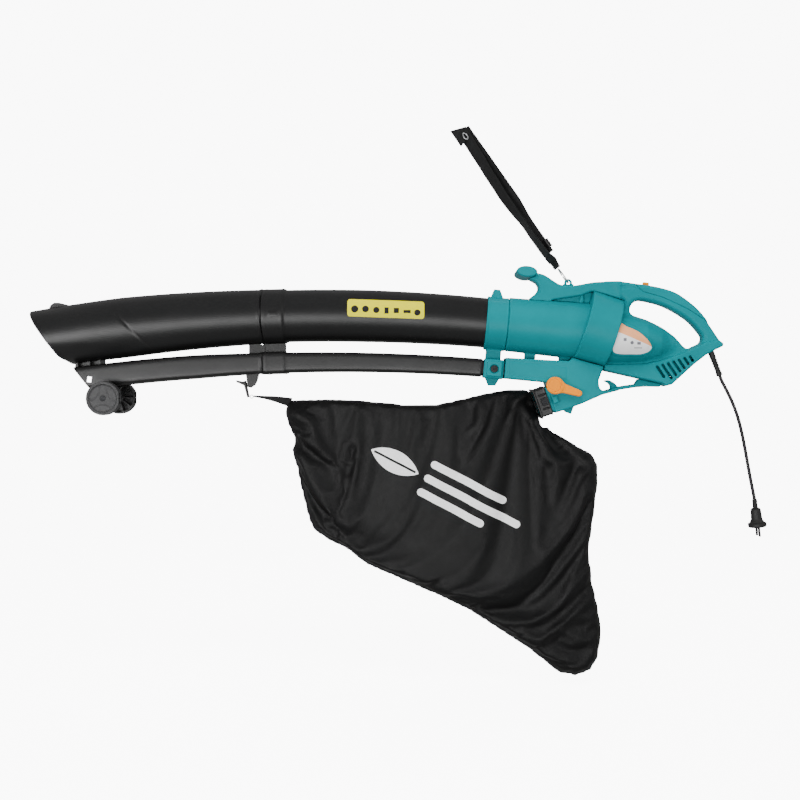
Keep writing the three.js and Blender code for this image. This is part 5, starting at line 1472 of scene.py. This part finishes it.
def make_snap_hook():
    def loop_point(degrees):
        t = math.radians(degrees)
        x, z = on_strap(17 - 17 * math.cos(t))
        return x, 9 * math.sin(t), z

    wire_loop("wire_hook", [loop_point(18 * i) for i in [*range(9, 20), *range(6)]], 1.3, "steel", "hook",
              "snap_hook", closed=False)
    wire_loop("wire_gate", [loop_point(a) for a in (97, 116, 136, 155)], 1.3, "steel", "hook_gate",
              "snap_gate", closed=False)


# ---------------------------------------------------------------- labels

def make_tube_label():
    """Printed film on the side of the middle tube, with rounded corners."""
    around, length = 26, 84
    x = np.linspace(-636.5, -486.5, length)
    rows = []
    for off, order in ((1.0, 1), (0.35, -1)):
        band = []
        for share in np.linspace(0, 1, around):
            corner = 5 - np.minimum(5, np.minimum(x + 636.5, -486.5 - x))
            cut = 5 - np.sqrt(np.maximum(25 - corner**2, 0))
            low, high = -39 + cut, -4.5 - cut
            z_here = low + (high - low) * share - (x + 562) * 0.035
            r = tube_radius(x) + off
            centre = place_on_arc(TUBE_ARC, x)[1]
            y = -np.sqrt(np.maximum(r**2 - (z_here - centre) ** 2, 1))
            band.append(np.stack([x, y, z_here], axis=-1))
        rows.append(np.stack(band)[::order])
    grid = np.concatenate(rows)
    n, m = grid.shape[:2]
    faces = [[i * m + j, i * m + j + 1, (i + 1) % n * m + j + 1, (i + 1) % n * m + j]
             for i in range(n) for j in range(m - 1)]
    faces += [[i * m for i in range(n)][::1], [i * m + m - 1 for i in range(n)][::-1]]
    make_piece("tube_label", grid.reshape(-1, 3), faces, "yellow_label", "machine", "warning_label")


def make_rating_label():
    m = Moulding((-122, -68, -116), (-34, -18, -44), 0.7)
    profile = [(-20, 0), (-20, 54), (0, 53), (26, 51), (60, 45), (92, 33), (118, 17), (131, 0)]
    bulge = m.turned(profile, BULGE, 1.22)
    edge = distance_to_outline(spline(LABEL_EDGE, 60, closed=True), m.x, m.z) + 2.2
    d = np.maximum(np.maximum(bulge - 0.4, -(bulge + 0.6)), np.maximum(edge, m.y + 20))
    d = carved(d, drum_clear(m))
    m.piece("rating_plate", d, "white_label", "machine", "rating_label")


# ---------------------------------------------------------------- carried-over parts and the floor

def finish_frame_nodes():
    """Every CAD node that still shows gets the finish of its slot."""
    slots = {part["node"]: part["material_slot"] for part in frame["record"]["subparts"]}
    for node, piece in frame["nodes"].items():
        piece.data.materials.clear()
        piece.data.materials.append(finishes[slots[node]])


def make_floor():
    """A pale floor that sweeps up into the backdrop."""
    low = cad_box[0][2] - 0.012
    bend = [(2.0 + 1.2 * math.sin(a), low + 1.2 * (1 - math.cos(a))) for a in np.linspace(0, math.pi / 2, 16)]
    line = [(-6.0, low), (-1.0, low), *bend, (3.2, 6.0)]
    wide = 9.0
    verts = [(x, y, z) for x in (-wide, wide) for y, z in line]
    n = len(line)
    faces = [(i, i + n, i + n + 1, i + 1) for i in range(n - 1)]
    mesh = bpy.data.meshes.new("floor")
    mesh.from_pydata(verts, [], faces)
    mesh.shade_smooth()
    floor = bpy.data.objects.new("floor", mesh)
    bpy.context.collection.objects.link(floor)
    f = Finish("pale_floor", 0.9, Emission_Strength=9.0)
    f.set(Base_Color=f.blend(f.noise(3, 2), rgb(0.86, 0.86, 0.86), rgb(0.88, 0.88, 0.88)))
    f.set(Emission_Color=f.blend(f.noise(3, 2), rgb(0.97, 0.97, 0.97), rgb(1, 1, 1)))
    mesh.materials.append(f.material)
    floor.visible_diffuse = False
    floor.visible_glossy = False


make_camera()
make_finishes()
make_cord()
make_relief()
make_studio()
make_floor()
finish_frame_nodes()
make_front_tube()
make_rear_tube()
make_front_duct()
make_rear_duct()
make_wheels()
make_collar()
make_housing()
make_front_grip()
make_intake()
make_drum()
make_case()
make_lever()
make_slider()
make_bag_collar()
make_bag()
make_bag_tab()
make_hook_and_ring()
make_strap()
make_strap_slide()
make_snap_hook()
make_tube_label()
make_rating_label()
